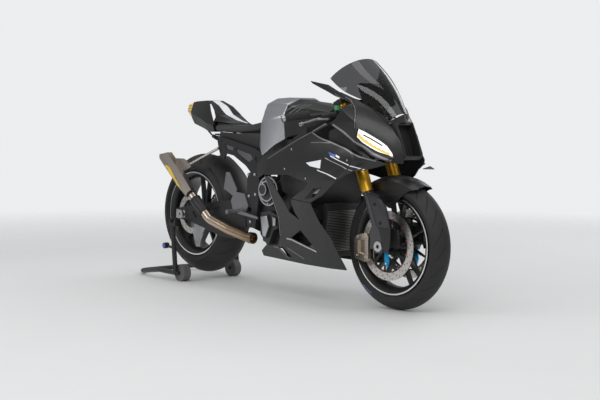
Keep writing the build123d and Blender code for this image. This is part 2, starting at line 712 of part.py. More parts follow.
def side_fairings():
    """Upper side panels with the forward-reaching arm over the radiator opening."""
    outline = [(779, 606), (800, 688), (983, 759), (1146, 820), (1240, 858), (1254, 850)]
    outline += [(1166, 813), (1191, 801), (1273, 776), (1366, 741)]
    outline += [(1427, 707), (1482, 690), (1512, 672), (1426, 646), (1389, 640), (1301, 587), (1214, 524)]
    outline += [(1125, 487), (985, 499), (1098, 551), (1130, 581), (978, 613), (790, 604)]
    panel = skin_by_height(SIDE_ROWS, SKIN) & slab(outline, 80, 300)
    panel -= slab([(1092, 502), (1158, 554), (1218, 562), (1156, 514)], 100, 300)
    return both(panel)


def belly_fairings():
    """Lower side panels with the rear strut, the low triangular duct and rear slots."""
    outline = [(983, 496), (1124, 484), (1165, 400), (1230, 320), (1299, 179)]
    outline += [(1200, 177), (1000, 178), (652, 190), (640, 215), (690, 248), (800, 258)]
    outline += [(830, 300), (842, 400), (815, 500), (782, 601), (820, 595)]
    outline += [(919, 476), (947, 431), (1022, 397), (990, 434), (976, 479)]
    panel = skin_by_height(SIDE_ROWS, SKIN) & slab(outline, 100, 300)
    panel -= slab([(925, 303), (1015, 348), (1114, 258)], 100, 300)
    panel -= slab([(806, 246), (846, 250), (900, 206), (872, 204)], 100, 300)
    return both(panel)


def winglets():
    """Small side fins below the nose."""
    ring = [(1400, 232, 640), (1456, 224, 654), (1448, 262, 640)]
    return both(ring_loft([[(x, y, z + lift) for x, y, z in ring] for lift in (0, SKIN)]))


NOSE_ROWS = [
    (664, [(1250, 256), (1390, 226), (1480, 140), (1526, 84), (1552, 56)]),
    (720, [(1250, 262), (1385, 205), (1470, 130), (1528, 82), (1562, 56)]),
    (800, [(1250, 258), (1380, 196), (1440, 135), (1490, 95), (1526, 58)]),
    (860, [(1250, 248), (1370, 186), (1420, 140), (1455, 98), (1482, 60)]),
    (930, [(1250, 244), (1300, 226), (1350, 160), (1384, 116), (1410, 80)]),
    (1000, [(1100, 222), (1180, 214), (1240, 200), (1266, 186), (1288, 168)]),
    (1060, [(1060, 206), (1075, 205), (1090, 203), (1120, 198), (1150, 190)]),
]
# columns: x, y, z along the sharp upper edge of the nose
RIDGE = [
    (1084, 204, 1056),
    (1188, 205, 1036),
    (1250, 194, 1006),
    (1292, 180, 986),
    (1323, 159, 969),
    (1367, 130, 941),
    (1395, 110, 923),
    (1434, 96, 887),
    (1483, 81, 841),
    (1518, 72, 797),
    (1546, 66, 756),
    (1560, 62, 703),
]
# columns: x, y out, z out, y in, z in of the strip from the ridge to below the screen's edge
RIDGE_FLANGE = [
    (1250, 191, 1003, 164, 1001),
    (1323, 156, 966, 134, 967),
    (1395, 107, 920, 84, 925),
    (1434, 93, 884, 70, 893),
    (1468, 84, 853, 61, 866),
]
LAMP_OUTLINE = [
    (1378, 836),
    (1379, 796),
    (1400, 769),
    (1435, 742),
    (1464, 724),
    (1496, 709),
    (1519, 704),
    (1510, 725),
    (1489, 756),
    (1463, 778),
    (1432, 800),
    (1407, 819),
]


def nose_cowl():
    """The nose flanks round the lamps up to the screen, with inner duct walls below them."""
    outline = [(x, z) for x, _, z in RIDGE]
    outline += [(1554, 676), (1518, 678), (1474, 696), (1436, 716), (1404, 746), (1370, 768)]
    outline += [(1322, 809), (1258, 856), (1284, 880), (1322, 949), (1292, 966), (1202, 1004), (1100, 1044)]
    panel = skin_by_height(NOSE_ROWS, SKIN) & slab(outline, 62, 300)
    panel -= slab(LAMP_OUTLINE, 60, 300)
    duct = [(1200, 796), (1262, 840), (1322, 800), (1404, 738), (1436, 710)]
    duct += [(1430, 690), (1366, 726), (1273, 762)]
    panel += strip_by_length(RIDGE_FLANGE)
    rows = [(z, offset_line(line, DUCT_INSET)) for z, line in NOSE_ROWS]
    wall = skin_by_height(rows, SKIN) & slab(duct, 62, 300)
    return both(Compound(children=list(panel.solids()) + list(wall.solids())))


def headlamps():
    """Slim lamp units set into the nose."""
    rows = [(z, offset_line(line, LAMP_INSET)) for z, line in NOSE_ROWS]
    return both(skin_by_height(rows, LAMP_DEPTH) & slab(LAMP_OUTLINE, 60, 300))


def air_intake():
    """The central air intake between the lamps: an open duct under a crescent lip."""
    outline = [(1470, 862), (1496, 862), (1524, 800), (1545, 745)]
    outline += [(1556, 706), (1544, 692), (1484, 700), (1440, 850)]
    duct = slab(outline, -58, 58)
    duct -= slab([(1460, 850), (1600, 850), (1600, 709), (1500, 709)], -50, 50)
    duct -= slab([(1490, 862), (1700, 862), (1700, 710), (1548, 710)], -50, 50)
    ends = [(1468, 868), (1474, 861), (1455, 861), (1456, 866)]
    middle = [(1490, 899), (1502, 861), (1480, 861), (1476, 895)]
    rings = []
    for y, ring in ((-57, ends), (0, middle), (57, ends)):
        rings.append([(x, y, z) for x, z in ring])
    return duct + ring_loft(rings)


def arch(centre_x, centre_z, edge_x, edge_y, edge_z, radius_cut):
    """Points on a round arch over the middle, moved inward by a cut."""
    rise = hypot(centre_x - edge_x, centre_z - edge_z)
    radius = (edge_y**2 + rise**2) / (2 * rise)
    reach = atan2(edge_y, radius - rise)
    points = []
    for i in range(-4, 5):
        turn = reach * i / 4
        height = (radius - radius_cut) * cos(turn) - (radius - rise)
        share = height / rise
        x = edge_x + (centre_x - edge_x) * share
        z = edge_z + (centre_z - edge_z) * share
        points.append((x, (radius - radius_cut) * sin(turn), z))
    return points


def windscreen():
    """The tall bubble screen."""
    # columns: centre x and z, edge x, y and z
    rows = [
        (1492, 904, 1464, 60, 874),
        (1426, 1002, 1372, 98, 946),
        (1338, 1092, 1264, 158, 1004),
        (1262, 1160, 1168, 158, 1066),
    ]
    rings = [arch(*row, 0) + list(reversed(arch(*row, SKIN))) for row in rows]
    return ring_loft(rings)


def instrument_display():
    """The flat display ahead of the upper yoke."""
    return Pos(1318, 0, 990) * Rot(0, 62, 0) * Box(110, 190, 22)


PIECES = {
    "front_tyre": tyre(FRONT_AXLE, FRONT_RADIUS, FRONT_WIDTH, FRONT_RIM_HALF),
    "front_rim": rim(FRONT_AXLE, FRONT_RIM_HALF, 38, 60, 10),
    "front_discs": both(disc(FRONT_AXLE, FRONT_DISC_Y, FRONT_DISC_RADIUS, 38, 24, 60, 10)),
    "rear_tyre": tyre(REAR_AXLE, REAR_RADIUS, REAR_WIDTH, REAR_RIM_HALF),
    "rear_rim": rim(REAR_AXLE, REAR_RIM_HALF, 48, 86, 10),
    "rear_disc": disc(REAR_AXLE, -REAR_DISC_Y, REAR_DISC_RADIUS, 34, 32, 86, 6),
    "rear_sprocket": sprocket(),
    "yokes": yokes(),
    "fork_outer_tubes": fork_outer_tubes(),
    "fork_lower_legs": fork_lower_legs(),
    "front_axle": front_axle(),
    "front_calipers": front_calipers(),
    "front_mudguard": front_mudguard(),
    "handlebars": handlebars(),
    "hand_controls": hand_controls(),
    "main_frame": main_frame(),
    "engine": engine(),
    "radiator": radiator(),
    "subframe": subframe(),
    "fuel_tank": fuel_tank(),
    "tank_cover": tank_cover(),
    "seat": seat(),
    "seat_base": seat_base(),
    "tail_cowl": tail_cowl(),
    "tail_lamp": tail_lamp(),
    "swingarm": swingarm(),
    "rear_axle": rear_axle(),
    "rear_caliper": rear_caliper(),
    "rear_hugger": rear_hugger(),
    "drive_chain": chain(),
    "rear_shock": rear_shock(),
    "exhaust_pipe": exhaust_pipe(),
    "silencer": silencer(),
    "footrests": footrests(),
    "paddock_stand": paddock_stand(),
    "stand_roller_left": roller(1),
    "stand_roller_right": roller(-1),
    "side_stand": side_stand(),
    "side_fairings": side_fairings(),
    "belly_fairings": belly_fairings(),
    "winglets": winglets(),
    "nose_cowl": nose_cowl(),
    "headlamps": headlamps(),
    "air_intake": air_intake(),
    "windscreen": windscreen(),
    "instrument_display": instrument_display(),
}

for name, shape in PIECES.items():
    export_step(Pos(-X_MID, 0, 0) * shape, f"parts/{name}.step")
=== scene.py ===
# %% [markdown]
# A sport motorcycle on its paddock stand
#
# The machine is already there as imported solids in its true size. This lesson dresses it: each solid
# gets its finish, the finer pieces are built around the solids, and a plain studio is set up. All of
# it could be modelled in one go, but then what has to be exact and what only shows would be mixed.
# Kept apart, the solids stay as they are and the looks stay easy to change.

# %% Load the frame
import json
import math

import bmesh
import bpy
from mathutils import Matrix, Vector
from mathutils.bvhtree import BVHTree


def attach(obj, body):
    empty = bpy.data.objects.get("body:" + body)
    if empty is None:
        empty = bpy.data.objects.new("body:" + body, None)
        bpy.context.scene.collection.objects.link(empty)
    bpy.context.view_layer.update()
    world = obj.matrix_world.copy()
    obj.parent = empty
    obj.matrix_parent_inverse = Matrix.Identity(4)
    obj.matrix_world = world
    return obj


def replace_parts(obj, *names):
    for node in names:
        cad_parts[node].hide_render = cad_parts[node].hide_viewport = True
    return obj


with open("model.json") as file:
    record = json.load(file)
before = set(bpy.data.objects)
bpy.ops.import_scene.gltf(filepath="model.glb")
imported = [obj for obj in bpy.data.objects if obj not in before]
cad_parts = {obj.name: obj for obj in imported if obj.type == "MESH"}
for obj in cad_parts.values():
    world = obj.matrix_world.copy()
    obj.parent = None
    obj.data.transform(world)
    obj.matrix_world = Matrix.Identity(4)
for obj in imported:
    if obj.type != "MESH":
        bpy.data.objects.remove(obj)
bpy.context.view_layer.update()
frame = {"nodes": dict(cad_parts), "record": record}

# %% [markdown]
# Places
#
# A workshop measures a motorcycle in millimetres from near the rear axle, and Blender's scene is in
# metres from the middle of the machine. Each place could be turned from one to the other by hand, but
# a function does it without slips, and every number below stays one that a ruler would show. The
# axles, the tyres and the output shaft are named once, because many pieces are set by them.

# %% Places and driving dimensions
MIDDLE = 657.25
# left and right of the machine
SIDES = (1, -1)
# axles and shaft as (x, z)
FRONT_AXLE, REAR_AXLE = (1465.0, 300.0), (9.0, 365.0)
OUTPUT_SHAFT = (668.0, 425.0)
# tyres as radius, half width and half width of the rim
FRONT_TYRE, REAR_TYRE = (300.0, 60.0, 45.0), (326.0, 100.0, 76.0)
BEAD_RADIUS, FLANGE_RADIUS = 216.0, 229.0


def at(x, y, z):
    """A place in the frame from millimetres."""
    return Vector(((x - MIDDLE) / 1000, y / 1000, z / 1000))


def line_point(points, share):
    """The (x, z) point at a share of a line's length."""
    spots = [Vector(p) for p in points]
    runs = [(b - a).length for a, b in zip(spots, spots[1:])]
    left = share * sum(runs)
    for a, b, run in zip(spots, spots[1:], runs):
        if left <= run:
            return a.lerp(b, left / run)
        left -= run
    return spots[-1]


print("wheelbase:", FRONT_AXLE[0] - REAR_AXLE[0], "mm")

# %% [markdown]
# Plates, rings and bars
#
# The small parts of a machine are cut from plate, turned on a lathe or drawn as bar. They could be
# pushed into shape vertex by vertex, but a bmesh operator does what the workshop does: extrude cuts a
# plate, spin turns a ring and a cone is a bar. The shape then follows from a few sizes.


# %% Plates, rings and bars
def thickened(bm, faces, reach):
    """Gives faces a thickness, by extruding them and moving the new ones by a vector in metres."""
    grown = bmesh.ops.extrude_face_region(bm, geom=faces)["geom"]
    moved = [g for g in grown if isinstance(g, bmesh.types.BMVert)]
    bmesh.ops.translate(bm, verts=moved, vec=reach)


def plate(bm, outline, y0, y1):
    """A flat plate between two widths, from a side outline of (x, z)."""
    face = bm.faces.new([bm.verts.new(at(x, y0, z)) for x, z in outline])
    thickened(bm, [face], (0, (y1 - y0) / 1000, 0))


def turned(bm, profile, axle, steps):
    """A ring spun about the crosswise axle through (x, z), from a closed (radius, y) outline."""
    verts = [bm.verts.new(at(axle[0] + r, y, axle[1])) for r, y in profile]
    edges = [bm.edges.new(pair) for pair in zip(verts, verts[1:] + verts[:1])]
    centre = at(axle[0], 0, axle[1])
    bmesh.ops.spin(
        bm, geom=verts + edges, cent=centre, axis=(0, 1, 0), angle=math.tau, steps=steps, use_merge=True
    )


def upright(start, along):
    """The placement of an upright shape whose foot is at a place and whose axis runs along a direction."""
    return Matrix.Translation(start) @ along.to_track_quat("Z", "Y").to_matrix().to_4x4()


def bar(bm, start, end, radius, sides):
    """A round bar between two places."""
    low, high = at(*start), at(*end)
    return bmesh.ops.create_cone(
        bm,
        cap_ends=True,
        segments=sides,
        radius1=radius / 1000,
        radius2=radius / 1000,
        depth=(high - low).length,
        matrix=upright((low + high) / 2, high - low),
    )["verts"]


# %% [markdown]
# Sheets laid on a panel
#
# Stripes, bands and edge lines are thin film or paint on a curved panel. They could be painted as a
# picture, but a picture needs unwrapped panels. Here a line is drawn from the side, each of its points
# goes straight in until it meets the panel, and the sheet gets a film's thickness. So a mark follows
# its panel's curve, and its edge stays crisp close up.

# %% Sheets laid on a panel
# film thickness in metres
FILM = 0.0004
# where the straight lines to a panel start, in millimetres, and where the nearest place is sought
FAR_OUT, FAR_ABOVE = 600, 1400
NEAR_OUT, NEAR_ABOVE = 250, 900


def strip_between(bm, rows, closed=False):
    """Faces between neighbouring rows of vertices."""
    chains = []
    for row in rows:
        ends = row[1:] + row[:1] if closed else row[1:]
        chains.append([bm.edges.new(pair) for pair in zip(row, ends)])
    for low, high in zip(chains, chains[1:]):
        bmesh.ops.bridge_loops(bm, edges=low + high)


nets = {}


def net(node):
    """A solid's faces, ready to be met by a straight line."""
    if node not in nets:
        bm = bmesh.new()
        bm.from_mesh(frame["nodes"][node].data)
        nets[node] = BVHTree.FromBMesh(bm)
        bm.free()
    return nets[node]


def landed(node, u, v, side, lift):
    """The place on a solid straight in from its side at (x, z), or down from above at (x, y) for side 0."""
    start = at(u, side * FAR_OUT, v) if side else at(u, v, FAR_ABOVE)
    inward = Vector((0, -side, 0)) if side else Vector((0, 0, -1))
    place = net(node).ray_cast(start, inward)[0]
    if place is None:
        place = net(node).find_nearest(at(u, side * NEAR_OUT, v) if side else at(u, v, NEAR_ABOVE))[0]
    return place - inward * lift / 1000


def mark(bm, node, upper, lower, side, lift=0.5, along=14, over=2):
    """A thin sheet laid on a solid between two lines, seen from its side or, for side 0, from above."""
    rows = []
    for i in range(over + 1):
        shares = [j / along for j in range(along + 1)]
        spots = [line_point(upper, t).lerp(line_point(lower, t), i / over) for t in shares]
        rows.append([bm.verts.new(landed(node, p.x, p.y, side, lift)) for p in spots])
    before = set(bm.faces)
    strip_between(bm, rows)
    made = [f for f in bm.faces if f not in before]
    thickened(bm, made, Vector((0, side, 0 if side else 1)) * FILM)


def stripe(bm, node, line, width, side, lift=0.5, along=24):
    """A stripe of one width laid along a line of (x, z)."""
    spots = [Vector(p) for p in line]
    upper, lower = [], []
    for i, spot in enumerate(spots):
        run = (spots[min(i + 1, len(spots) - 1)] - spots[max(i - 1, 0)]).normalized()
        out = Vector((-run.y, run.x)) * width / 2
        upper.append(spot + out)
        lower.append(spot - out)
    mark(bm, node, upper, lower, side, lift, along)


# %% [markdown]
# A finished piece
#
# No made part has a razor edge: each is broken by a file or rounded in its mould, and that thin round
# edge is what catches the light. The bevel could be a modifier on each object, but done on the bmesh
# it stays with the shape. The piece is then shaded smooth up to a limit, handed its finish, and told
# which body of the machine it moves with.

# %% A finished piece
SHARP = math.radians(32)


def piece(name, bm, body, material, bevel=0.0):
    """The finished piece from its bmesh, on its body, with its real edges bevelled by some millimetres."""
    bmesh.ops.remove_doubles(bm, verts=bm.verts, dist=0.00001)
    if bevel:
        edges = [e for e in bm.edges if e.is_manifold and e.calc_face_angle() > SHARP]
        bmesh.ops.bevel(
            bm,
            geom=edges,
            offset=bevel / 1000,
            affect="EDGES",
            segments=2,
            profile=0.5,
            material=-1,
            clamp_overlap=True,
        )
    bmesh.ops.recalc_face_normals(bm, faces=bm.faces)
    mesh = bpy.data.meshes.new(name)
    bm.to_mesh(mesh)
    bm.free()
    mesh.shade_smooth()
    mesh.set_sharp_from_angle(angle=SHARP)
    mesh.materials.append(material)
    obj = bpy.data.objects.new(name, mesh)
    bpy.context.scene.collection.objects.link(obj)
    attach(obj, body)
    print(name, len(mesh.polygons), "faces")
    return obj


# %% [markdown]
# Nodes in a few words
#
# A finish is a tree of nodes. It could be laid out by mouse in the shader editor, but a finish that is
# written down can be read, checked and used again. These helpers each add one kind of node and return
# the socket it puts out, so that a sum of three nodes reads like a sum of three numbers.


# %% Node helpers
def start_group(name, inputs, outputs):
    """An empty effect with named sockets, and inside it the sockets that come in and that go out."""
    tree = bpy.data.node_groups.new(name, "ShaderNodeTree")
    for label, kind, value in inputs:
        socket = tree.interface.new_socket(name=label, in_out="INPUT", socket_type="NodeSocket" + kind)
        socket.default_value = value
    for label, kind in outputs:
        tree.interface.new_socket(name=label, in_out="OUTPUT", socket_type="NodeSocket" + kind)
    return tree, tree.nodes.new("NodeGroupInput").outputs, tree.nodes.new("NodeGroupOutput").inputs


def put(tree, socket, value):
    """Sets an input socket to a value, or links it from an output socket."""
    if isinstance(value, bpy.types.NodeSocket):
        tree.links.new(value, socket)
    else:
        socket.default_value = value


def maths(tree, operation, first, second=0.0, clamp=False):
    """The result of a sum on two sockets or numbers."""
    node = tree.nodes.new("ShaderNodeMath")
    node.operation = operation
    node.use_clamp = clamp
    put(tree, node.inputs[0], first)
    put(tree, node.inputs[1], second)
    return node.outputs[0]


def scaled(tree, vector, factor):
    """A vector or colour times a number."""
    node = tree.nodes.new("ShaderNodeVectorMath")
    node.operation = "SCALE"
    put(tree, node.inputs[0], vector)
    put(tree, node.inputs["Scale"], factor)
    return node.outputs[0]


def mixed(tree, share, first, second):
    """A blend of two colours; inputs 6 and 7 and output 2 are the Mix node's colour sockets."""
    node = tree.nodes.new("ShaderNodeMix")
    node.data_type = "RGBA"
    put(tree, node.inputs["Factor"], share)
    put(tree, node.inputs[6], first)
    put(tree, node.inputs[7], second)
    return node.outputs[2]


# %% [markdown]
# Noise, swing and relief
#
# No surface is one flat value. Most of what makes a finish real is noise: a cloud of values from 0 to
# 1 that a colour or a roughness swings with, or that lifts the surface a little. Image textures could
# do it too, but noise on Object coordinates needs no unwrapping and stays put when a piece moves.


# %% Noise, swing and relief
def speckle(tree, place, scale, detail=5.0):
    """Noise from 0 to 1 at a place."""
    node = tree.nodes.new("ShaderNodeTexNoise")
    put(tree, node.inputs["Vector"], place)
    put(tree, node.inputs["Scale"], scale)
    node.inputs["Detail"].default_value = detail
    return node.outputs[0]


def spread_about(tree, middle, noise, spread):
    """A value that swings about its middle with the noise."""
    about_zero = maths(tree, "SUBTRACT", noise, 0.5)
    swing = maths(tree, "MULTIPLY", about_zero, maths(tree, "MULTIPLY", spread, 2.0))
    return maths(tree, "ADD", middle, swing)


def object_place(tree):
    """Object coordinates, which are metres in the machine's own frame."""
    return tree.nodes.new("ShaderNodeTexCoord").outputs["Object"]


def relief(tree, height, strength, distance):
    """A bumped normal from a height, with the distance in metres."""
    node = tree.nodes.new("ShaderNodeBump")
    put(tree, node.inputs["Height"], height)
    put(tree, node.inputs["Strength"], strength)
    node.inputs["Distance"].default_value = distance
    return node.outputs[0]


# %% [markdown]
# Grain
#
# Paint, castings, rubber and moulded plastic are never quite even: a fine grain breaks the shine, and
# broad smudges from handling shift colour and gloss. Photographs of surfaces would show that too, but
# noise has no seams and no edge. One node group holds it, and each material places the group with its
# own scale, swing and depth. A group puts out only values that change over the surface.

# %% Grain
SURFACE_IN = [
    ("Colour", "Color", (0.1, 0.1, 0.1, 1.0)),
    ("Colour spread", "Float", 0.1),
    ("Roughness", "Float", 0.4),
    ("Roughness spread", "Float", 0.05),
    ("Scale", "Float", 400.0),
    ("Relief", "Float", 0.1),
]
SURFACE_OUT = [("Colour", "Color"), ("Roughness", "Float"), ("Normal", "Vector")]


def grain_group():
    """Fine grain with broad smudges, as on paint, castings, rubber and moulded plastic."""
    tree, ins, outs = start_group("grain", SURFACE_IN, SURFACE_OUT)
    place = object_place(tree)
    fine = speckle(tree, place, ins["Scale"])
    broad = speckle(tree, place, maths(tree, "MULTIPLY", ins["Scale"], 0.03), 3.0)
    shade = spread_about(tree, 1.0, broad, ins["Colour spread"])
    put(tree, outs["Colour"], scaled(tree, ins["Colour"], shade))
    put(tree, outs["Roughness"], spread_about(tree, ins["Roughness"], broad, ins["Roughness spread"]))
    put(tree, outs["Normal"], relief(tree, fine, ins["Relief"], 0.0002))
    return tree


GRAIN = grain_group()
print("effect:", GRAIN.name)

# %% [markdown]
# Brushed lines
#
# Ground and brushed metal carries fine lines in one direction, left by the belt or the wheel. Real
# grooves would need far too many faces. Noise that is stretched along the machine by a Mapping node
# gives the same streaks in colour, gloss and relief, so the highlight breaks up as it does on steel.


# %% Brushed lines
def brushed_group():
    """Fine lines along the machine, as on brushed metal."""
    tree, ins, outs = start_group("brushed_lines", SURFACE_IN, SURFACE_OUT)
    mapping = tree.nodes.new("ShaderNodeMapping")
    put(tree, mapping.inputs["Vector"], object_place(tree))
    mapping.inputs["Scale"].default_value = (0.03, 1.0, 1.0)
    lines = speckle(tree, mapping.outputs[0], ins["Scale"], 3.0)
    broad = speckle(tree, object_place(tree), 9.0, 4.0)
    shade = maths(tree, "ADD", maths(tree, "MULTIPLY", lines, 0.6), maths(tree, "MULTIPLY", broad, 0.4))
    swing = spread_about(tree, 1.0, shade, ins["Colour spread"])
    put(tree, outs["Colour"], scaled(tree, ins["Colour"], swing))
    put(tree, outs["Roughness"], spread_about(tree, ins["Roughness"], lines, ins["Roughness spread"]))
    put(tree, outs["Normal"], relief(tree, lines, ins["Relief"], 0.0003))
    return tree


BRUSHED = brushed_group()
print("effect:", BRUSHED.name)

# %% [markdown]
# Settled dust
#
# A machine that stands in a workshop gathers pale dust on whatever faces up. It could be painted on
# each piece, but the upward part of the surface normal already says where dust lies. A cloudy noise
# breaks it up, and a small amount is enough to take the newness off black paint.

# %% Settled dust
DUST_COLOUR = (0.32, 0.3, 0.27, 1.0)


def dust_group():
    """A little pale dust on what faces up."""
    inputs = [
        ("Colour", "Color", (0.1, 0.1, 0.1, 1.0)),
        ("Roughness", "Float", 0.4),
        ("Amount", "Float", 0.1),
    ]
    tree, ins, outs = start_group("settled_dust", inputs, SURFACE_OUT[:2])
    facing = tree.nodes.new("ShaderNodeSeparateXYZ")
    put(tree, facing.inputs[0], tree.nodes.new("ShaderNodeNewGeometry").outputs["Normal"])
    cloud = speckle(tree, object_place(tree), 30.0, 8.0)
    lying = maths(tree, "MULTIPLY", facing.outputs[2], cloud, True)
    share = maths(tree, "MULTIPLY", lying, ins["Amount"], True)
    put(tree, outs["Colour"], mixed(tree, share, ins["Colour"], DUST_COLOUR))
    put(tree, outs["Roughness"], maths(tree, "ADD", ins["Roughness"], maths(tree, "MULTIPLY", share, 0.5)))
    return tree


DUST = dust_group()
print("effect:", DUST.name)

# %% [markdown]
# Rain grooves
#
# A road tyre has slanted grooves on its shoulders and fine rings on its side wall. Cutting them into
# the mesh would cost tens of thousands of faces that hardly show. Here they are masks: the angle round
# the axle and the distance out from the middle line say whether a point lies in a groove, and the
# material then sinks it and darkens it with painted shade. The pattern turns with the wheel, because it
# is set by the place in the piece's own frame.

# %% Rain grooves
GROOVE_SLANT, GROOVE_HALF = 1.4, 0.055
# from where to where on the half width the grooves run
GROOVE_START, GROOVE_END = 0.22, 0.84
# metres from the axle to the lowest tread, and wall rings in a metre
TREAD_RADIUS, WALL_RINGS = 0.255, 160.0


def tread_group():
    """Slanted rain grooves on a tyre's shoulders, and rings on its wall, as masks that are 1 there."""
    inputs = [
        ("Axle forward", "Float", 0.0),
        ("Axle height", "Float", 0.3),
        ("Half width", "Float", 0.06),
        ("Count", "Float", 24.0),
    ]
    tree, ins, outs = start_group("rain_grooves", inputs, [("Groove", "Float"), ("Sidewall", "Float")])
    parts = tree.nodes.new("ShaderNodeSeparateXYZ")
    put(tree, parts.inputs[0], object_place(tree))
    forward = maths(tree, "SUBTRACT", parts.outputs[0], ins["Axle forward"])
    upward = maths(tree, "SUBTRACT", parts.outputs[2], ins["Axle height"])
    turn = maths(tree, "DIVIDE", maths(tree, "ARCTAN2", upward, forward), math.tau)
    out = maths(tree, "DIVIDE", maths(tree, "ABSOLUTE", parts.outputs[1]), ins["Half width"])
    counted = maths(tree, "MULTIPLY", turn, ins["Count"])
    slant = maths(tree, "ADD", counted, maths(tree, "MULTIPLY", out, GROOVE_SLANT))
    wave = maths(tree, "ABSOLUTE", maths(tree, "SUBTRACT", maths(tree, "FRACT", slant), 0.5))
    narrow = maths(tree, "LESS_THAN", wave, GROOVE_HALF)
    outer = maths(tree, "LESS_THAN", out, GROOVE_END)
    inner = maths(tree, "GREATER_THAN", out, GROOVE_START)
    square = maths(tree, "ADD", maths(tree, "POWER", forward, 2.0), maths(tree, "POWER", upward, 2.0))
    tread = maths(tree, "GREATER_THAN", square, TREAD_RADIUS**2)
    within = maths(tree, "MULTIPLY", narrow, outer)
    put(tree, outs["Groove"], maths(tree, "MULTIPLY", within, maths(tree, "MULTIPLY", inner, tread)))
    rings = maths(tree, "FRACT", maths(tree, "MULTIPLY", maths(tree, "SQRT", square), WALL_RINGS))
    ridge = maths(tree, "GREATER_THAN", rings, 0.8)
    wall = maths(tree, "SUBTRACT", 1.0, outer)
    put(tree, outs["Sidewall"], maths(tree, "MULTIPLY", ridge, wall))
    return tree


TREAD = tread_group()
print("effects:", [g.name for g in bpy.data.node_groups])

# %% [markdown]
# Starting a finish
#
# Every coat, casting and plating on the machine differs in the same few ways: colour, how metallic and
# how rough it is, its grain, its clear coat and its dust. Each could be its own material built by
# hand, but one function that takes those values keeps them alike in kind, so that two blacks side by
# side differ only as much as the real ones do.


# %% Starting a finish
def effect(tree, group, values):
    """An effect placed in a material with its own values."""
    node = tree.nodes.new("ShaderNodeGroup")
    node.node_tree = group
    for label, value in values.items():
        put(tree, node.inputs[label], value)
    return node.outputs


def start_material(name):
    """A new material, its node tree and the inputs of its Principled shader."""
    material = bpy.data.materials.new(name)
    material.use_nodes = True
    return material, material.node_tree, material.node_tree.nodes["Principled BSDF"].inputs


def finish(name, colour, metallic, rough, scale, spread, rough_spread, deep, coat=0.0, dust=0.0, group=None):
    """A painted, cast, moulded or brushed finish."""
    material, tree, shader = start_material(name)
    values = {"Colour": (*colour, 1.0), "Colour spread": spread, "Roughness": rough}
    values.update({"Roughness spread": rough_spread, "Scale": scale, "Relief": deep})
    made = effect(tree, group or GRAIN, values)
    put(tree, shader["Normal"], made["Normal"])
    if dust:
        made = effect(tree, DUST, {"Colour": made["Colour"], "Roughness": made["Roughness"], "Amount": dust})
    put(tree, shader["Base Color"], made["Colour"])
    put(tree, shader["Roughness"], made["Roughness"])
    shader["Metallic"].default_value = metallic
    shader["Coat Weight"].default_value = coat
    shader["Coat Roughness"].default_value = 0.12
    return material


print("finish takes an effect group, or else", GRAIN.name)

# %% [markdown]
# Plain finishes
#
# The body is satin black, the frame and castings are a little greyer, the fork tubes are anodised gold
# and the brake calipers nickel plated. Most of these could share one black, but in plain light they
# would run together, so each has its own depth of colour and gloss. One row is one finish.

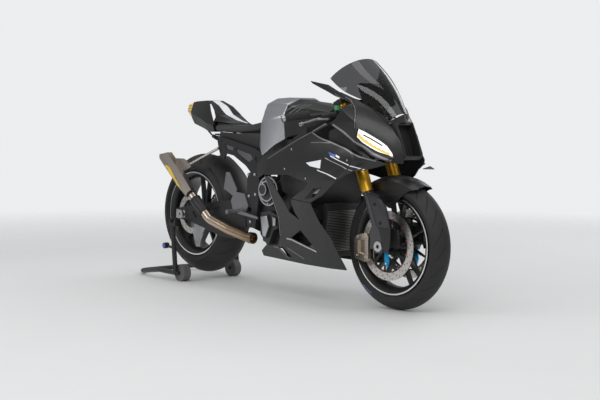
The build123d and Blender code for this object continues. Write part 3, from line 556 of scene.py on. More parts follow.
# %% Plain finishes
# columns: colour, metallic, roughness, grain scale, colour swing, roughness swing, relief, coat, dust
FINISHES = {
    "wheel_black": ((0.012, 0.012, 0.013), 0.2, 0.34, 900, 0.1, 0.05, 0.06, 0.2, 0.1),
    "yoke_black": ((0.035, 0.035, 0.037), 0.6, 0.38, 1200, 0.1, 0.05, 0.05, 0.0, 0.05),
    "fork_gold": ((0.8, 0.45, 0.045), 1.0, 0.36, 1500, 0.04, 0.03, 0.01, 0.0, 0.0),
    "cast_black": ((0.025, 0.025, 0.027), 0.4, 0.42, 1400, 0.15, 0.08, 0.25, 0.0, 0.1),
    "alloy_grey": ((0.1, 0.1, 0.105), 0.8, 0.36, 1400, 0.1, 0.06, 0.15, 0.0, 0.05),
    "heel_alloy": ((0.26, 0.26, 0.27), 0.85, 0.38, 1300, 0.1, 0.06, 0.2, 0.0, 0.05),
    "silver_cast": ((0.5, 0.5, 0.52), 0.9, 0.38, 1300, 0.1, 0.06, 0.25, 0.0, 0.05),
    "caliper_nickel": ((0.62, 0.52, 0.43), 0.95, 0.3, 1000, 0.1, 0.06, 0.1, 0.0, 0.0),
    "body_black": ((0.009, 0.009, 0.01), 0.0, 0.36, 1800, 0.06, 0.04, 0.03, 0.12, 0.02),
    "frame_black": ((0.03, 0.03, 0.032), 0.4, 0.4, 1400, 0.12, 0.06, 0.2, 0.0, 0.06),
    "guard_grey": ((0.045, 0.045, 0.048), 0.5, 0.36, 1500, 0.08, 0.05, 0.1, 0.1, 0.03),
    # painted highlight: a lighter grey laid as stripes along thin panel edges and creases
    "edge_light": ((0.2, 0.2, 0.205), 0.3, 0.3, 1500, 0.05, 0.04, 0.03, 0.3, 0.02),
    "line_dark": ((0.006, 0.006, 0.006), 0.0, 0.6, 1500, 0.05, 0.04, 0.03, 0.0, 0.0),
    "infill_grey": ((0.12, 0.12, 0.125), 0.5, 0.4, 1400, 0.12, 0.06, 0.2, 0.0, 0.08),
    "engine_metal": ((0.07, 0.07, 0.073), 0.8, 0.42, 1200, 0.2, 0.08, 0.35, 0.0, 0.1),
    "radiator_black": ((0.05, 0.05, 0.05), 0.6, 0.5, 900, 0.2, 0.08, 0.1, 0.0, 0.15),
    "fin_metal": ((0.46, 0.45, 0.43), 0.9, 0.42, 900, 0.25, 0.08, 0.1, 0.0, 0.1),
    "plastic_black": ((0.014, 0.014, 0.015), 0.0, 0.5, 2500, 0.1, 0.06, 0.3, 0.0, 0.08),
    "stand_black": ((0.014, 0.014, 0.015), 0.1, 0.36, 1500, 0.1, 0.06, 0.2, 0.1, 0.15),
    "roller_plastic": ((0.1, 0.1, 0.1), 0.0, 0.55, 1500, 0.2, 0.08, 0.2, 0.0, 0.15),
    "grip_rubber": ((0.02, 0.02, 0.02), 0.0, 0.75, 2500, 0.1, 0.06, 0.4, 0.0, 0.05),
    "stripe_white": ((0.82, 0.83, 0.85), 0.0, 0.3, 1200, 0.03, 0.03, 0.02, 0.3, 0.0),
    "stripe_grey": ((0.3, 0.3, 0.31), 0.1, 0.32, 1200, 0.03, 0.03, 0.02, 0.3, 0.0),
    "mark_blue": ((0.03, 0.1, 0.42), 0.0, 0.35, 1200, 0.05, 0.03, 0.02, 0.3, 0.0),
    "anodised_blue": ((0.02, 0.32, 0.62), 0.9, 0.3, 1500, 0.06, 0.05, 0.04, 0.0, 0.0),
    "button_copper": ((0.42, 0.14, 0.08), 0.9, 0.35, 1500, 0.1, 0.05, 0.05, 0.0, 0.0),
    "plate_yellow": ((0.72, 0.5, 0.06), 0.2, 0.4, 1500, 0.12, 0.05, 0.05, 0.2, 0.0),
    "pot_green": ((0.05, 0.3, 0.12), 0.0, 0.25, 600, 0.15, 0.05, 0.02, 0.4, 0.0),
}
# the same columns for what is brushed, turned or ground
BRUSHED_FINISHES = {
    "disc_steel": ((0.62, 0.59, 0.56), 1.0, 0.3, 1600, 0.12, 0.06, 0.1),
    "sprocket_alloy": ((0.36, 0.36, 0.37), 1.0, 0.35, 1400, 0.1, 0.06, 0.1),
    "axle_steel": ((0.62, 0.62, 0.62), 1.0, 0.26, 1400, 0.08, 0.06, 0.06),
    "lip_polished": ((0.78, 0.78, 0.78), 1.0, 0.2, 1400, 0.05, 0.04, 0.03),
    "tank_metal": ((0.56, 0.57, 0.6), 1.0, 0.36, 1100, 0.1, 0.07, 0.12),
    "chain_steel": ((0.42, 0.39, 0.34), 1.0, 0.34, 1400, 0.15, 0.08, 0.08),
    "titanium": ((0.55, 0.49, 0.45), 1.0, 0.3, 1300, 0.12, 0.06, 0.1),
}
M = {}
for name, (colour, metallic, rough, scale, spread, swing, deep, coat, dust) in FINISHES.items():
    M[name] = finish(name, colour, metallic, rough, scale, spread, swing, deep, coat, dust)
for name, (colour, metallic, rough, scale, spread, swing, deep) in BRUSHED_FINISHES.items():
    M[name] = finish(name, colour, metallic, rough, scale, spread, swing, deep, group=BRUSHED)
print(len(M), "plain finishes")

# %% [markdown]
# Tyre rubber
#
# Rubber is nearly black, dull and a little dusty, and its grooves get painted shade. A plain black
# would look like a hole in the picture. The groove mask paints that shade into the colour and sinks
# the surface, and the grain and dust groups do the rest. The two tyres share the function and differ
# in axle and width.


# %% Tyre rubber
def tyre_rubber(name, axle, half_width, count):
    """Rubber with grooves on the tread and fine rings on the side wall."""
    material, tree, shader = start_material(name)
    values = {"Axle forward": (axle[0] - MIDDLE) / 1000, "Axle height": axle[1] / 1000}
    values.update({"Half width": half_width / 1000, "Count": count})
    cut = effect(tree, TREAD, values)
    values = {"Colour": (0.014, 0.014, 0.015, 1.0), "Colour spread": 0.25, "Roughness": 0.62}
    values.update({"Roughness spread": 0.12, "Scale": 700.0, "Relief": 0.2})
    grain = effect(tree, GRAIN, values)
    dusty = effect(tree, DUST, {"Colour": grain["Colour"], "Roughness": grain["Roughness"], "Amount": 0.12})
    # painted shade: inside the grooves the colour is darkened to near black
    put(tree, shader["Base Color"], mixed(tree, cut["Groove"], dusty["Colour"], (0.004, 0.004, 0.004, 1.0)))
    put(tree, shader["Roughness"], dusty["Roughness"])
    height = maths(tree, "SUBTRACT", maths(tree, "MULTIPLY", cut["Sidewall"], 0.2), cut["Groove"])
    put(tree, shader["Normal"], relief(tree, height, 0.9, 0.002))
    return material


M["front_rubber"] = tyre_rubber("front_rubber", FRONT_AXLE, FRONT_TYRE[1], count=22.0)
M["rear_rubber"] = tyre_rubber("rear_rubber", REAR_AXLE, REAR_TYRE[1], count=20.0)
print("tyre finishes:", M["front_rubber"].name, M["rear_rubber"].name)

# %% [markdown]
# Heat tint
#
# Hot gas colours a titanium pipe: pale near the silencer, then straw, then brown toward the engine. A
# painted picture could carry that, but the pipe runs along the machine, so a colour ramp on the
# forward place gives the same order of colours, and a cloudy noise keeps their borders uneven.

# %% Heat tint
# metres ahead of the machine's middle where the tint starts and ends
TINT_START, TINT_END = -0.45, 0.06
PALE, STRAW = (0.5, 0.43, 0.38, 1.0), (0.58, 0.45, 0.33, 1.0)
RUST, UMBER = (0.4, 0.27, 0.17, 1.0), (0.2, 0.15, 0.12, 1.0)


def heat_titanium(name):
    """Titanium that turns from pale metal through straw to dark brown toward the engine."""
    material, tree, shader = start_material(name)
    parts = tree.nodes.new("ShaderNodeSeparateXYZ")
    put(tree, parts.inputs[0], object_place(tree))
    cloud = speckle(tree, object_place(tree), 14.0, 6.0)
    along = maths(tree, "ADD", parts.outputs[0], maths(tree, "MULTIPLY", cloud, 0.08))
    ramp = tree.nodes.new("ShaderNodeMapRange")
    put(tree, ramp.inputs["Value"], along)
    ramp.inputs["From Min"].default_value = TINT_START
    ramp.inputs["From Max"].default_value = TINT_END
    tint = tree.nodes.new("ShaderNodeValToRGB")
    put(tree, tint.inputs[0], ramp.outputs[0])
    tint.color_ramp.elements[0].color = PALE
    tint.color_ramp.elements[1].color = UMBER
    for place, colour in ((0.45, STRAW), (0.8, RUST)):
        tint.color_ramp.elements.new(place).color = colour
    values = {"Colour": tint.outputs[0], "Colour spread": 0.12, "Roughness": 0.27}
    values.update({"Roughness spread": 0.08, "Scale": 900.0, "Relief": 0.06})
    made = effect(tree, BRUSHED, values)
    put(tree, shader["Base Color"], made["Colour"])
    put(tree, shader["Roughness"], made["Roughness"])
    put(tree, shader["Normal"], made["Normal"])
    shader["Metallic"].default_value = 1.0
    return material


M["heat_titanium"] = heat_titanium("heat_titanium")
print("pipe finish:", M["heat_titanium"].name)

# %% [markdown]
# Seat cover
#
# The seat is covered in black sheet with a pebbled leather grain, which gives grip and hides wear.
# Plain noise looks like dust on it. Voronoi cells give rounded pebbles of one size, read as relief
# only, and a little sheen lifts the edges as soft cover does.


# %% Seat cover
def seat_cover(name):
    """Black cover with a pebbled leather grain."""
    material, tree, shader = start_material(name)
    cells = tree.nodes.new("ShaderNodeTexVoronoi")
    put(tree, cells.inputs["Vector"], object_place(tree))
    cells.inputs["Scale"].default_value = 420.0
    values = {"Colour": (0.02, 0.02, 0.021, 1.0), "Colour spread": 0.15, "Roughness": 0.55}
    values.update({"Roughness spread": 0.08, "Scale": 500.0, "Relief": 0.1})
    made = effect(tree, GRAIN, values)
    put(tree, shader["Base Color"], made["Colour"])
    put(tree, shader["Roughness"], made["Roughness"])
    put(tree, shader["Normal"], relief(tree, cells.outputs["Distance"], 0.5, 0.0008))
    shader["Sheen Weight"].default_value = 0.1
    return material


M["seat_black"] = seat_cover("seat_black")
print("seat finish:", M["seat_black"].name)

# %% [markdown]
# Lit lenses
#
# Head and tail lamps are clear covers over ribbed reflectors, and they are on. Real bulbs and mirrors
# behind glass would be slow to render. A lens that glows a little, striped by a wave for its ribs and
# with a glossy coat over it, reads the same and keeps its colour under any light.


# %% Lit lenses
def lit_lens(name, colour, strength, ribs):
    """A lit lens whose inner ribs vary its light."""
    material, tree, shader = start_material(name)
    wave = tree.nodes.new("ShaderNodeTexWave")
    wave.bands_direction = "X"
    put(tree, wave.inputs["Vector"], object_place(tree))
    wave.inputs["Scale"].default_value = ribs
    wave.inputs["Distortion"].default_value = 0.4
    glow = mixed(tree, wave.outputs["Fac"], tuple(c * 0.75 for c in colour) + (1.0,), (*colour, 1.0))
    put(tree, shader["Base Color"], glow)
    put(tree, shader["Emission Color"], glow)
    put(tree, shader["Normal"], relief(tree, wave.outputs["Fac"], 0.2, 0.0005))
    shader["Emission Strength"].default_value = strength
    shader["Roughness"].default_value = 0.12
    shader["Coat Weight"].default_value = 0.6
    return material


M["lamp_white"] = lit_lens("lamp_white", (0.95, 0.95, 0.9), strength=0.9, ribs=60.0)
M["lamp_yellow"] = lit_lens("lamp_yellow", (0.75, 0.55, 0.16), strength=0.5, ribs=90.0)
M["lamp_amber"] = lit_lens("lamp_amber", (0.72, 0.5, 0.12), strength=0.45, ribs=70.0)
print("lamp finishes:", M["lamp_white"].name, M["lamp_yellow"].name, M["lamp_amber"].name)

# %% [markdown]
# Smoked screen
#
# The windscreen is moulded clear plastic with a dark tint. A see-through black would do from afar, but
# it shows no bending at the edges. Full transmission with the plastic's own index bends what lies
# behind it, and a faint haze keeps it from looking like a window pane.


# %% Smoked screen
def smoked_screen(name):
    """Smoked clear plastic with the faintest haze."""
    material, tree, shader = start_material(name)
    haze = speckle(tree, object_place(tree), 25.0, 6.0)
    put(tree, shader["Roughness"], maths(tree, "MULTIPLY", haze, 0.09))
    tint = scaled(tree, (0.09, 0.09, 0.095), spread_about(tree, 1.0, haze, 0.05))
    put(tree, shader["Base Color"], tint)
    shader["Transmission Weight"].default_value = 1.0
    shader["IOR"].default_value = 1.49
    return material


M["screen_smoke"] = smoked_screen("screen_smoke")
print(len(M), "finishes in all")

# %% [markdown]
# Smooth facets
#
# The solids come as loose flat triangles, as a maker's drawing is handed on. Editing them would break
# the match with the drawing, so they are left alone. A geometry nodes modifier joins the triangles
# only for the picture, and shades them smooth up to the angle at which a real edge starts.


# %% Smooth facets
def smooth_tree():
    """Joins facets and shades them smooth between edges sharper than the limit."""
    tree = bpy.data.node_groups.new("smooth_facets", "GeometryNodeTree")
    tree.interface.new_socket(name="Geometry", in_out="INPUT", socket_type="NodeSocketGeometry")
    tree.interface.new_socket(name="Geometry", in_out="OUTPUT", socket_type="NodeSocketGeometry")
    last = tree.nodes.new("NodeGroupInput").outputs[0]
    unshade = tree.nodes.new("GeometryNodeRemoveAttribute")
    unshade.inputs["Name"].default_value = "custom_normal"
    merge = tree.nodes.new("GeometryNodeMergeByDistance")
    merge.inputs["Distance"].default_value = 0.00002
    faces = tree.nodes.new("GeometryNodeSetShadeSmooth")
    faces.domain = "FACE"
    edges = tree.nodes.new("GeometryNodeSetShadeSmooth")
    edges.domain = "EDGE"
    edges.inputs["Shade Smooth"].default_value = False
    angle = tree.nodes.new("GeometryNodeInputMeshEdgeAngle")
    sharp = tree.nodes.new("ShaderNodeMath")
    sharp.operation = "GREATER_THAN"
    sharp.inputs[1].default_value = SHARP
    tree.links.new(angle.outputs[0], sharp.inputs[0])
    tree.links.new(sharp.outputs[0], edges.inputs["Selection"])
    for node in (unshade, merge, faces, edges):
        tree.links.new(last, node.inputs[0])
        last = node.outputs[0]
    tree.links.new(last, tree.nodes.new("NodeGroupOutput").inputs[0])
    return tree


SMOOTH = smooth_tree()
print("modifier:", SMOOTH.name)

# %% [markdown]
# Solids with their finishes
#
# Each solid has a material slot that says what it is made of. Most take the finish of that name, and
# a few have a finer one of their own, such as the pipe with its heat tint. A bevel modifier rounds the
# real edges: wide on the pressed tank and the tail, where the sheet is bent, and narrow on castings.

# %% Solids with their finishes
OWN_FINISH = {
    "front_tyre": "front_rubber",
    "rear_tyre": "rear_rubber",
    "exhaust_pipe": "heat_titanium",
    "fork_lower_legs": "alloy_grey",
    "footrests": "heel_alloy",
    "headlamps": "lamp_white",
    "rear_caliper": "silver_cast",
    "instrument_display": "plastic_black",
}
EDGE_WIDTH = {
    "fuel_tank": 7.0,
    "tank_cover": 5.0,
    "tail_cowl": 4.0,
    "engine": 2.5,
    "swingarm": 3.0,
    "main_frame": 3.0,
    "front_calipers": 2.5,
    "rear_caliper": 2.5,
    "subframe": 1.5,
    "silencer": 2.0,
}
slots = {row["node"]: row["material_slot"] for row in frame["record"]["subparts"]}
for name, obj in frame["nodes"].items():
    obj.data.materials.clear()
    obj.data.materials.append(M[OWN_FINISH.get(name, slots[name])])
    obj.modifiers.new("smooth_facets", "NODES").node_group = SMOOTH
    if name != "windscreen":
        rounded = obj.modifiers.new("rounded_edges", "BEVEL")
        rounded.width = EDGE_WIDTH.get(name, 1.0) / 1000
        rounded.segments = 2
        rounded.limit_method = "ANGLE"
        rounded.angle_limit = math.radians(24) if name in EDGE_WIDTH else SHARP
print(len(frame["nodes"]), "solids dressed")

# %% [markdown]
# Tyres and rim lips
#
# A sport tyre has a round crown, so that the machine can lean. The solid's crown has flat steps, and a
# bevel would not make it round. A closed outline of crown, walls and beads is spun afresh about the
# axle, and stands in for the solid. Each rim also gets its polished lip, a thin ring beside the tyre.

# %% Tyres and rim lips
CROWN_DROP, WALL, CROWN_STEPS = 0.34, 9.0, 14
LIP_INNER, LIP_OUTER, LIP_OUT, LIP_THICK = 222, 228.2, 8.0, 0.6


def tyre_profile(radius, half, rim_half):
    """The closed (radius, y) outline of a tyre: crown, side walls, beads and the hollow inside."""
    drop, wall, steps = CROWN_DROP * half * 2, WALL, CROWN_STEPS
    crown = [(radius - drop * (i / steps) ** 2, half * i / steps) for i in range(-steps, steps + 1)]
    outer = [(BEAD_RADIUS, -rim_half), (FLANGE_RADIUS + 2, -rim_half), (FLANGE_RADIUS + 14, -half + 2)]
    outer += crown + [(r, -y) for r, y in reversed(outer)]
    inner = [(BEAD_RADIUS, rim_half - wall), (radius - drop - wall, half - wall), (radius - wall, 0)]
    return outer + inner + [(r, -y) for r, y in reversed(inner[:-1])]


WHEELS = {
    "front": (FRONT_AXLE, FRONT_TYRE),
    "rear": (REAR_AXLE, REAR_TYRE),
}
for end, (axle, (radius, half, rim_half)) in WHEELS.items():
    bm = bmesh.new()
    turned(bm, tyre_profile(radius, half, rim_half), axle, 128)
    rubber = piece(f"{end}_tyre_skin", bm, f"{end}_wheel", M[f"{end}_rubber"])
    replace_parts(rubber, f"{end}_tyre")
    bm = bmesh.new()
    for side in SIDES:
        near = side * (rim_half + LIP_OUT)
        far = near + side * LIP_THICK
        ring = [(LIP_INNER, near), (LIP_OUTER, near), (LIP_OUTER, far), (LIP_INNER, far)]
        turned(bm, ring, axle, 128)
    piece(f"{end}_rim_lips", bm, f"{end}_wheel", M["lip_polished"])

# %% [markdown]
# Drilled discs
#
# A brake disc is a steel band with rows of holes that cool and clean it, held to a black carrier by
# round buttons. A picture of holes would not let the wheel show through. Circles are laid flat and
# filled as one face with holes, and that face is given its thickness. Each hole has only eight sides,
# because there are many and they are small.


# %% Drilled discs
def drilled_band(bm, axle, y0, y1, outer, inner, rows, count, hole):
    """A flat band with round holes; rows are the radii that the holes step through."""
    spots = [(0.0, 0.0, outer, 96), (0.0, 0.0, inner, 96)]
    for i in range(count):
        turn = math.tau * i / count
        reach = rows[i % len(rows)]
        spots.append((reach * math.cos(turn), reach * math.sin(turn), hole, 8))
    edges = []
    lying = Matrix.Rotation(math.pi / 2, 4, "X")
    for x, z, radius, sides in spots:
        place = Matrix.Translation(at(axle[0] + x, y0, axle[1] + z)) @ lying
        ring = bmesh.ops.create_circle(bm, segments=sides, radius=radius / 1000, matrix=place)["verts"]
        edges += list({e for v in ring for e in v.link_edges})
    filled = bmesh.ops.triangle_fill(bm, use_beauty=True, edges=edges, normal=(0, -1, 0))["geom"]
    faces = [g for g in filled if isinstance(g, bmesh.types.BMFace)]
    thickened(bm, faces, (0, (y1 - y0) / 1000, 0))


def arms(bm, axle, y0, y1, inner, outer, width, count):
    """Swept arms from a carrier's ring to its band."""
    for i in range(count):
        turn = math.tau * i / count
        lean = turn + 0.16
        out = Vector((math.cos(lean), math.sin(lean)))
        root = Vector((math.cos(turn), math.sin(turn))) * inner
        tip = out * outer
        wide = Vector((-out.y, out.x)) * width / 2
        corners = [root - wide * 1.3, tip - wide * 0.7, tip + wide * 0.7, root + wide * 1.3]
        plate(bm, [(axle[0] + c.x, axle[1] + c.y) for c in corners], y0, y1)


def buttons(bm, axle, y0, y1, radius, count, size):
    """Round drive buttons round a disc."""
    for i in range(count):
        turn = math.tau * (i + 0.5) / count
        x, z = axle[0] + radius * math.cos(turn), axle[1] + radius * math.sin(turn)
        bar(bm, (x, y0, z), (x, y1, z), size, 12)


# %% [markdown]
# Front and rear discs
#
# The front wheel has two wide discs and the rear wheel a small one on the right. They could be one
# shape at two sizes, but the real ones differ in arms and buttons. The same helpers make both, and a
# few sizes of each disc tell them apart.

# %% Front and rear discs
FRONT_BAND = {"outer": 160, "inner": 124, "rows": (131, 142, 153), "count": 60, "hole": 3.6}
REAR_BAND = {"outer": 110, "inner": 78, "rows": (85, 94, 103), "count": 42, "hole": 3.6}
band, carrier, studs = bmesh.new(), bmesh.new(), bmesh.new()
for side in SIDES:
    low, high = sorted((side * 67.5, side * 72.5))
    drilled_band(band, FRONT_AXLE, low, high, **FRONT_BAND)
    arms(carrier, FRONT_AXLE, low + 0.5, high - 0.5, inner=34, outer=122, width=13, count=10)
    hub = [(38, side * 60), (38, side * 71), (24, side * 71), (24, side * 60)]
    turned(carrier, hub, FRONT_AXLE, 48)
    ring = [(124, low + 0.5), (124, high - 0.5), (117, high - 0.5), (117, low + 0.5)]
    turned(carrier, ring, FRONT_AXLE, 96)
    buttons(studs, FRONT_AXLE, side * 66.5, side * 73.8, radius=122.0, count=12, size=5.6)
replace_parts(piece("front_disc_bands", band, "front_wheel", M["disc_steel"]), "front_discs")
piece("front_disc_carriers", carrier, "front_wheel", M["cast_black"])
piece("front_disc_buttons", studs, "front_wheel", M["button_copper"], 0.8)

band, carrier = bmesh.new(), bmesh.new()
drilled_band(band, REAR_AXLE, -105.5, -100.5, **REAR_BAND)
arms(carrier, REAR_AXLE, -105, -101, inner=40, outer=80, width=13, count=6)
turned(carrier, [(46, -86), (46, -104), (32, -104), (32, -86)], REAR_AXLE, 48)
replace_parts(piece("rear_disc_band", band, "rear_wheel", M["disc_steel"]), "rear_disc")
piece("rear_disc_carrier", carrier, "rear_wheel", M["cast_black"])

# %% [markdown]
# The chain's path
#
# The chain runs round two sprockets of unlike size and straight between them. It could follow a curve
# object, but then its links would drift from the pitch. Four stretches, two arcs and two straight
# runs, give the place and the slope at any share of the loop.

# %% The chain's path
CHAIN_REAR, CHAIN_FRONT, CHAIN_Y, LINKS = 114.0, 44.5, 114.0, 114


def chain_place(share):
    """The (x, z) place and the slope of the chain at a share of its loop."""
    rear, front = Vector(REAR_AXLE), Vector(OUTPUT_SHAFT)
    span = front - rear
    tilt = math.atan2(span.y, span.x)
    lean = math.acos((CHAIN_REAR - CHAIN_FRONT) / span.length)
    straight = math.sqrt(span.length**2 - (CHAIN_REAR - CHAIN_FRONT) ** 2)
    back, nose = CHAIN_REAR * (math.tau - 2 * lean), CHAIN_FRONT * 2 * lean
    left = share * (back + nose + 2 * straight)
    if left < back:
        turn = tilt + lean + left / CHAIN_REAR
        return rear + Vector((math.cos(turn), math.sin(turn))) * CHAIN_REAR, turn + math.pi / 2
    left -= back
    low = Vector((math.cos(tilt - lean), math.sin(tilt - lean)))
    run = Vector((-low.y, low.x))
    if left < straight:
        return rear + low * CHAIN_REAR + run * left, math.atan2(run.y, run.x)
    left -= straight
    if left < nose:
        turn = tilt - lean + left / CHAIN_FRONT
        return front + Vector((math.cos(turn), math.sin(turn))) * CHAIN_FRONT, turn + math.pi / 2
    left -= nose
    top = Vector((math.cos(tilt + lean), math.sin(tilt + lean)))
    run = Vector((-top.y, top.x))
    return front + top * CHAIN_FRONT + run * left, math.atan2(run.y, run.x)


print("pitch:", round((chain_place(1 / LINKS)[0] - chain_place(0)[0]).length, 2), "mm")

# %% [markdown]
# Chain links
#
# A link is a pair of side plates round a pin and a roller, and every other pair sits outside its
# neighbours. Linked copies along a curve would do, but each would be an object of its own. One bmesh
# holds them all, with only a few faces in each plate and pin, because there are over a hundred.

# %% Chain links
INNER_GAP, OUTER_GAP = 4.4, 6.5
# plate radius and thickness in metres, and its height as a share of its length
PLATE_RADIUS, PLATE_THICK, PLATE_SLIM = 0.0118, 0.0016, 0.5
bm = bmesh.new()
for i in range(LINKS):
    spot = chain_place(i / LINKS)[0]
    middle, across = chain_place((i + 0.5) / LINKS)
    gap = OUTER_GAP if i % 2 else INNER_GAP
    bar(bm, (spot.x, CHAIN_Y - 8.5, spot.y), (spot.x, CHAIN_Y + 8.5, spot.y), 2.6, 8)
    bar(bm, (spot.x, CHAIN_Y - 4, spot.y), (spot.x, CHAIN_Y + 4, spot.y), 5.0, 10)
    for side in SIDES:
        place = Matrix.Translation(at(middle.x, CHAIN_Y + side * gap, middle.y))
        shape = Matrix.Rotation(-across, 4, "Y") @ Matrix.Rotation(math.pi / 2, 4, "X")
        size = Matrix.Diagonal((1.0, PLATE_SLIM, 1.0, 1.0))
        bmesh.ops.create_cone(
            bm,
            cap_ends=True,
            segments=12,
            radius1=PLATE_RADIUS,
            radius2=PLATE_RADIUS,
            depth=PLATE_THICK,
            matrix=place @ shape @ size,
        )
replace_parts(piece("chain_links", bm, "chassis", M["chain_steel"]), "drive_chain")

# %% [markdown]
# Seat pad
#
# The pad is foam under a tight cover: wide at the back, narrow by the tank and crowned in the middle.
# Sculpting would give that, but a sculpted pad is hard to set to size. A row of cross sections is
# bridged into a skin, and a subdivision surface rounds it as foam does.

# %% Seat pad
# columns: x, half width and height of the foot, the side and the shoulder, height of the crown
PAD_ROWS = [
    (214, 92, 813, 104, 832, 84, 852, 866),
    (226, 96, 812, 110, 835, 88, 856, 868),
    (270, 104, 810, 118, 831, 92, 850, 861),
    (330, 110, 808, 126, 826, 96, 845, 855),
    (390, 106, 806, 120, 822, 92, 842, 851),
    (440, 97, 804, 110, 819, 84, 841, 850),
    (490, 76, 805, 88, 822, 64, 848, 858),
    (530, 55, 806, 66, 827, 46, 859, 869),
    (539, 51, 808, 60, 829, 42, 858, 867),
]
rings = []
bm = bmesh.new()
for x, foot, foot_z, side_w, side_z, top, top_z, crown in PAD_ROWS:
    half = [(foot, foot_z), (side_w, side_z), (top, top_z), (top * 0.55, (top_z + crown * 2) / 3)]
    ring = [(0, foot_z)] + half + [(0, crown)] + [(-y, z) for y, z in reversed(half)]
    rings.append([bm.verts.new(at(x, y, z)) for y, z in ring])
strip_between(bm, rings, closed=True)
bm.faces.new(rings[0])
bm.faces.new(list(reversed(rings[-1])))
pad = piece("seat_pad", bm, "chassis", M["seat_black"])
pad.data.shade_smooth()
rounding = pad.modifiers.new("crowned", "SUBSURF")
rounding.levels = rounding.render_levels = 2
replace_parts(pad, "seat")


# %% [markdown]
# Seams
#
# The cover's panels are sewn together along the pad's shoulders, and the seam stands up as a thin
# ridge. It could be a bump in the finish, but close up a ridge has to catch the light. A curve with a
# round section is the plainest way to lay a thread along a line.


# %% Seams
def sewn_line(name, points, radius, material):
    """A raised seam through points, as a smooth curve with a round section."""
    curve = bpy.data.curves.new(name, "CURVE")
    curve.dimensions = "3D"
    curve.bevel_depth = radius / 1000
    curve.bevel_resolution = 2
    curve.use_fill_caps = True
    spline = curve.splines.new("NURBS")
    spline.points.add(len(points) - 1)
    for spot, place in zip(spline.points, points):
        spot.co = (*at(*place), 1.0)
    spline.order_u = 3
    spline.use_endpoint_u = True
    curve.materials.append(material)
    obj = bpy.data.objects.new(name, curve)
    bpy.context.scene.collection.objects.link(obj)
    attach(obj, "chassis")


for side in SIDES:
    edge = [(row[0], side * row[5] * 0.985, row[6] + 1.5) for row in PAD_ROWS[1:-1]]
    sewn_line(f"seat_seam_{'left' if side > 0 else 'right'}", edge, 1.6, M["seat_black"])
print("seat pad with", len(SIDES), "seams")

# %% [markdown]
# Screen
#
# The screen is blown from one sheet into a long bubble. The solid has the same form in flat steps,
# which would show as bands in clear plastic. Arches over the middle are set at a few rows, a smooth
# curve fills in the rows between, and one skin is bridged over the outer and the inner arches.

# %% Windscreen
ARCH_STEPS = 24
# columns: centre x and z, edge x, y and z
SCREEN_ROWS = [
    (1492, 904, 1464, 60, 874),
    (1426, 1002, 1372, 98, 946),
    (1338, 1092, 1264, 158, 1004),
    (1262, 1160, 1168, 158, 1066),
]


def arch(row, cut):
    """Points on a round arch over the middle, moved inward by a cut."""
    centre_x, centre_z, edge_x, edge_y, edge_z = row
    rise = math.hypot(centre_x - edge_x, centre_z - edge_z)
    radius = (edge_y**2 + rise**2) / (2 * rise)
    reach = math.atan2(edge_y, radius - rise)
    points = []
    for i in range(ARCH_STEPS + 1):
        turn = reach * (2 * i / ARCH_STEPS - 1)
        share = ((radius - cut) * math.cos(turn) - (radius - rise)) / rise
        x = edge_x + (centre_x - edge_x) * share
        z = edge_z + (centre_z - edge_z) * share
        points.append((x, (radius - cut) * math.sin(turn), z))
    return points


def eased(p, q, r, s, t):
    """A value a share of the way from q to r, on the smooth curve that comes from p and goes on to s."""
    slope = (r - p) * t
    bow = (2 * p - 5 * q + 4 * r - s) * t**2
    twist = (3 * q - p - 3 * r + s) * t**3
    return 0.5 * (2 * q + slope + bow + twist)


def eased_rows(rows, parts):
    """Rows with smooth ones between them, on a curve through the given rows."""
    made = []
    for i in range(len(rows) - 1):
        a, b = rows[max(i - 1, 0)], rows[i]
        c, d = rows[i + 1], rows[min(i + 2, len(rows) - 1)]
        for j in range(parts):
            made.append([eased(p, q, r, s, j / parts) for p, q, r, s in zip(a, b, c, d)])
    return made + [list(rows[-1])]


SHEET, BETWEEN_ROWS = 3.5, 5
bm = bmesh.new()
rings = []
for row in eased_rows(SCREEN_ROWS, BETWEEN_ROWS):
    rings.append([bm.verts.new(at(*p)) for p in arch(row, 0) + list(reversed(arch(row, SHEET)))])
strip_between(bm, rings, closed=True)
bm.faces.new(rings[0])
bm.faces.new(list(reversed(rings[-1])))
screen = piece("screen", bm, "chassis", M["screen_smoke"])
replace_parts(screen, "windscreen")

# %% [markdown]
# Radiator
#
# Water runs through flat tubes across the radiator, and thin fins between them give the heat to the
# air. A striped picture would look flat between the fork legs, where light comes from the side. Plates
# for the tubes and thinner plates upright for the fins are cheap, and they shade each other as the
# real core does.

# %% Radiator
RADIATOR_LOW, RADIATOR_HIGH = Vector((1120.0, 246.0)), Vector((1155.0, 446.0))
TUBES, TUBE_HALF, TUBE_DEEP, TUBE_REACH = 26, 1.3, 3.0, 154
FINS, FIN_HALF, FIN_DEEP, FIN_REACH = 62, 0.5, 1.8, 152
bm = bmesh.new()
for i in range(TUBES):
    spot = RADIATOR_LOW.lerp(RADIATOR_HIGH, (i + 0.5) / TUBES)
    lean = (RADIATOR_HIGH - RADIATOR_LOW).normalized() * TUBE_HALF
    front = Vector((lean.y, -lean.x)).normalized() * TUBE_DEEP
    corners = [spot - lean, spot + lean, spot + lean + front, spot - lean + front]
    plate(bm, [tuple(c) for c in corners], -TUBE_REACH, TUBE_REACH)
piece("radiator_tubes", bm, "chassis", M["fin_metal"])
bm = bmesh.new()
for i in range(FINS):
    y = -FIN_REACH + i * 2 * FIN_REACH / (FINS - 1)
    lean = (RADIATOR_HIGH - RADIATOR_LOW).normalized()
    front = Vector((lean.y, -lean.x)) * FIN_DEEP
    low, high = RADIATOR_LOW, RADIATOR_HIGH
    corners = [tuple(low), tuple(high), tuple(high + front), tuple(low + front)]
    plate(bm, corners, y - FIN_HALF, y + FIN_HALF)
piece("radiator_fins", bm, "chassis", M["radiator_black"])

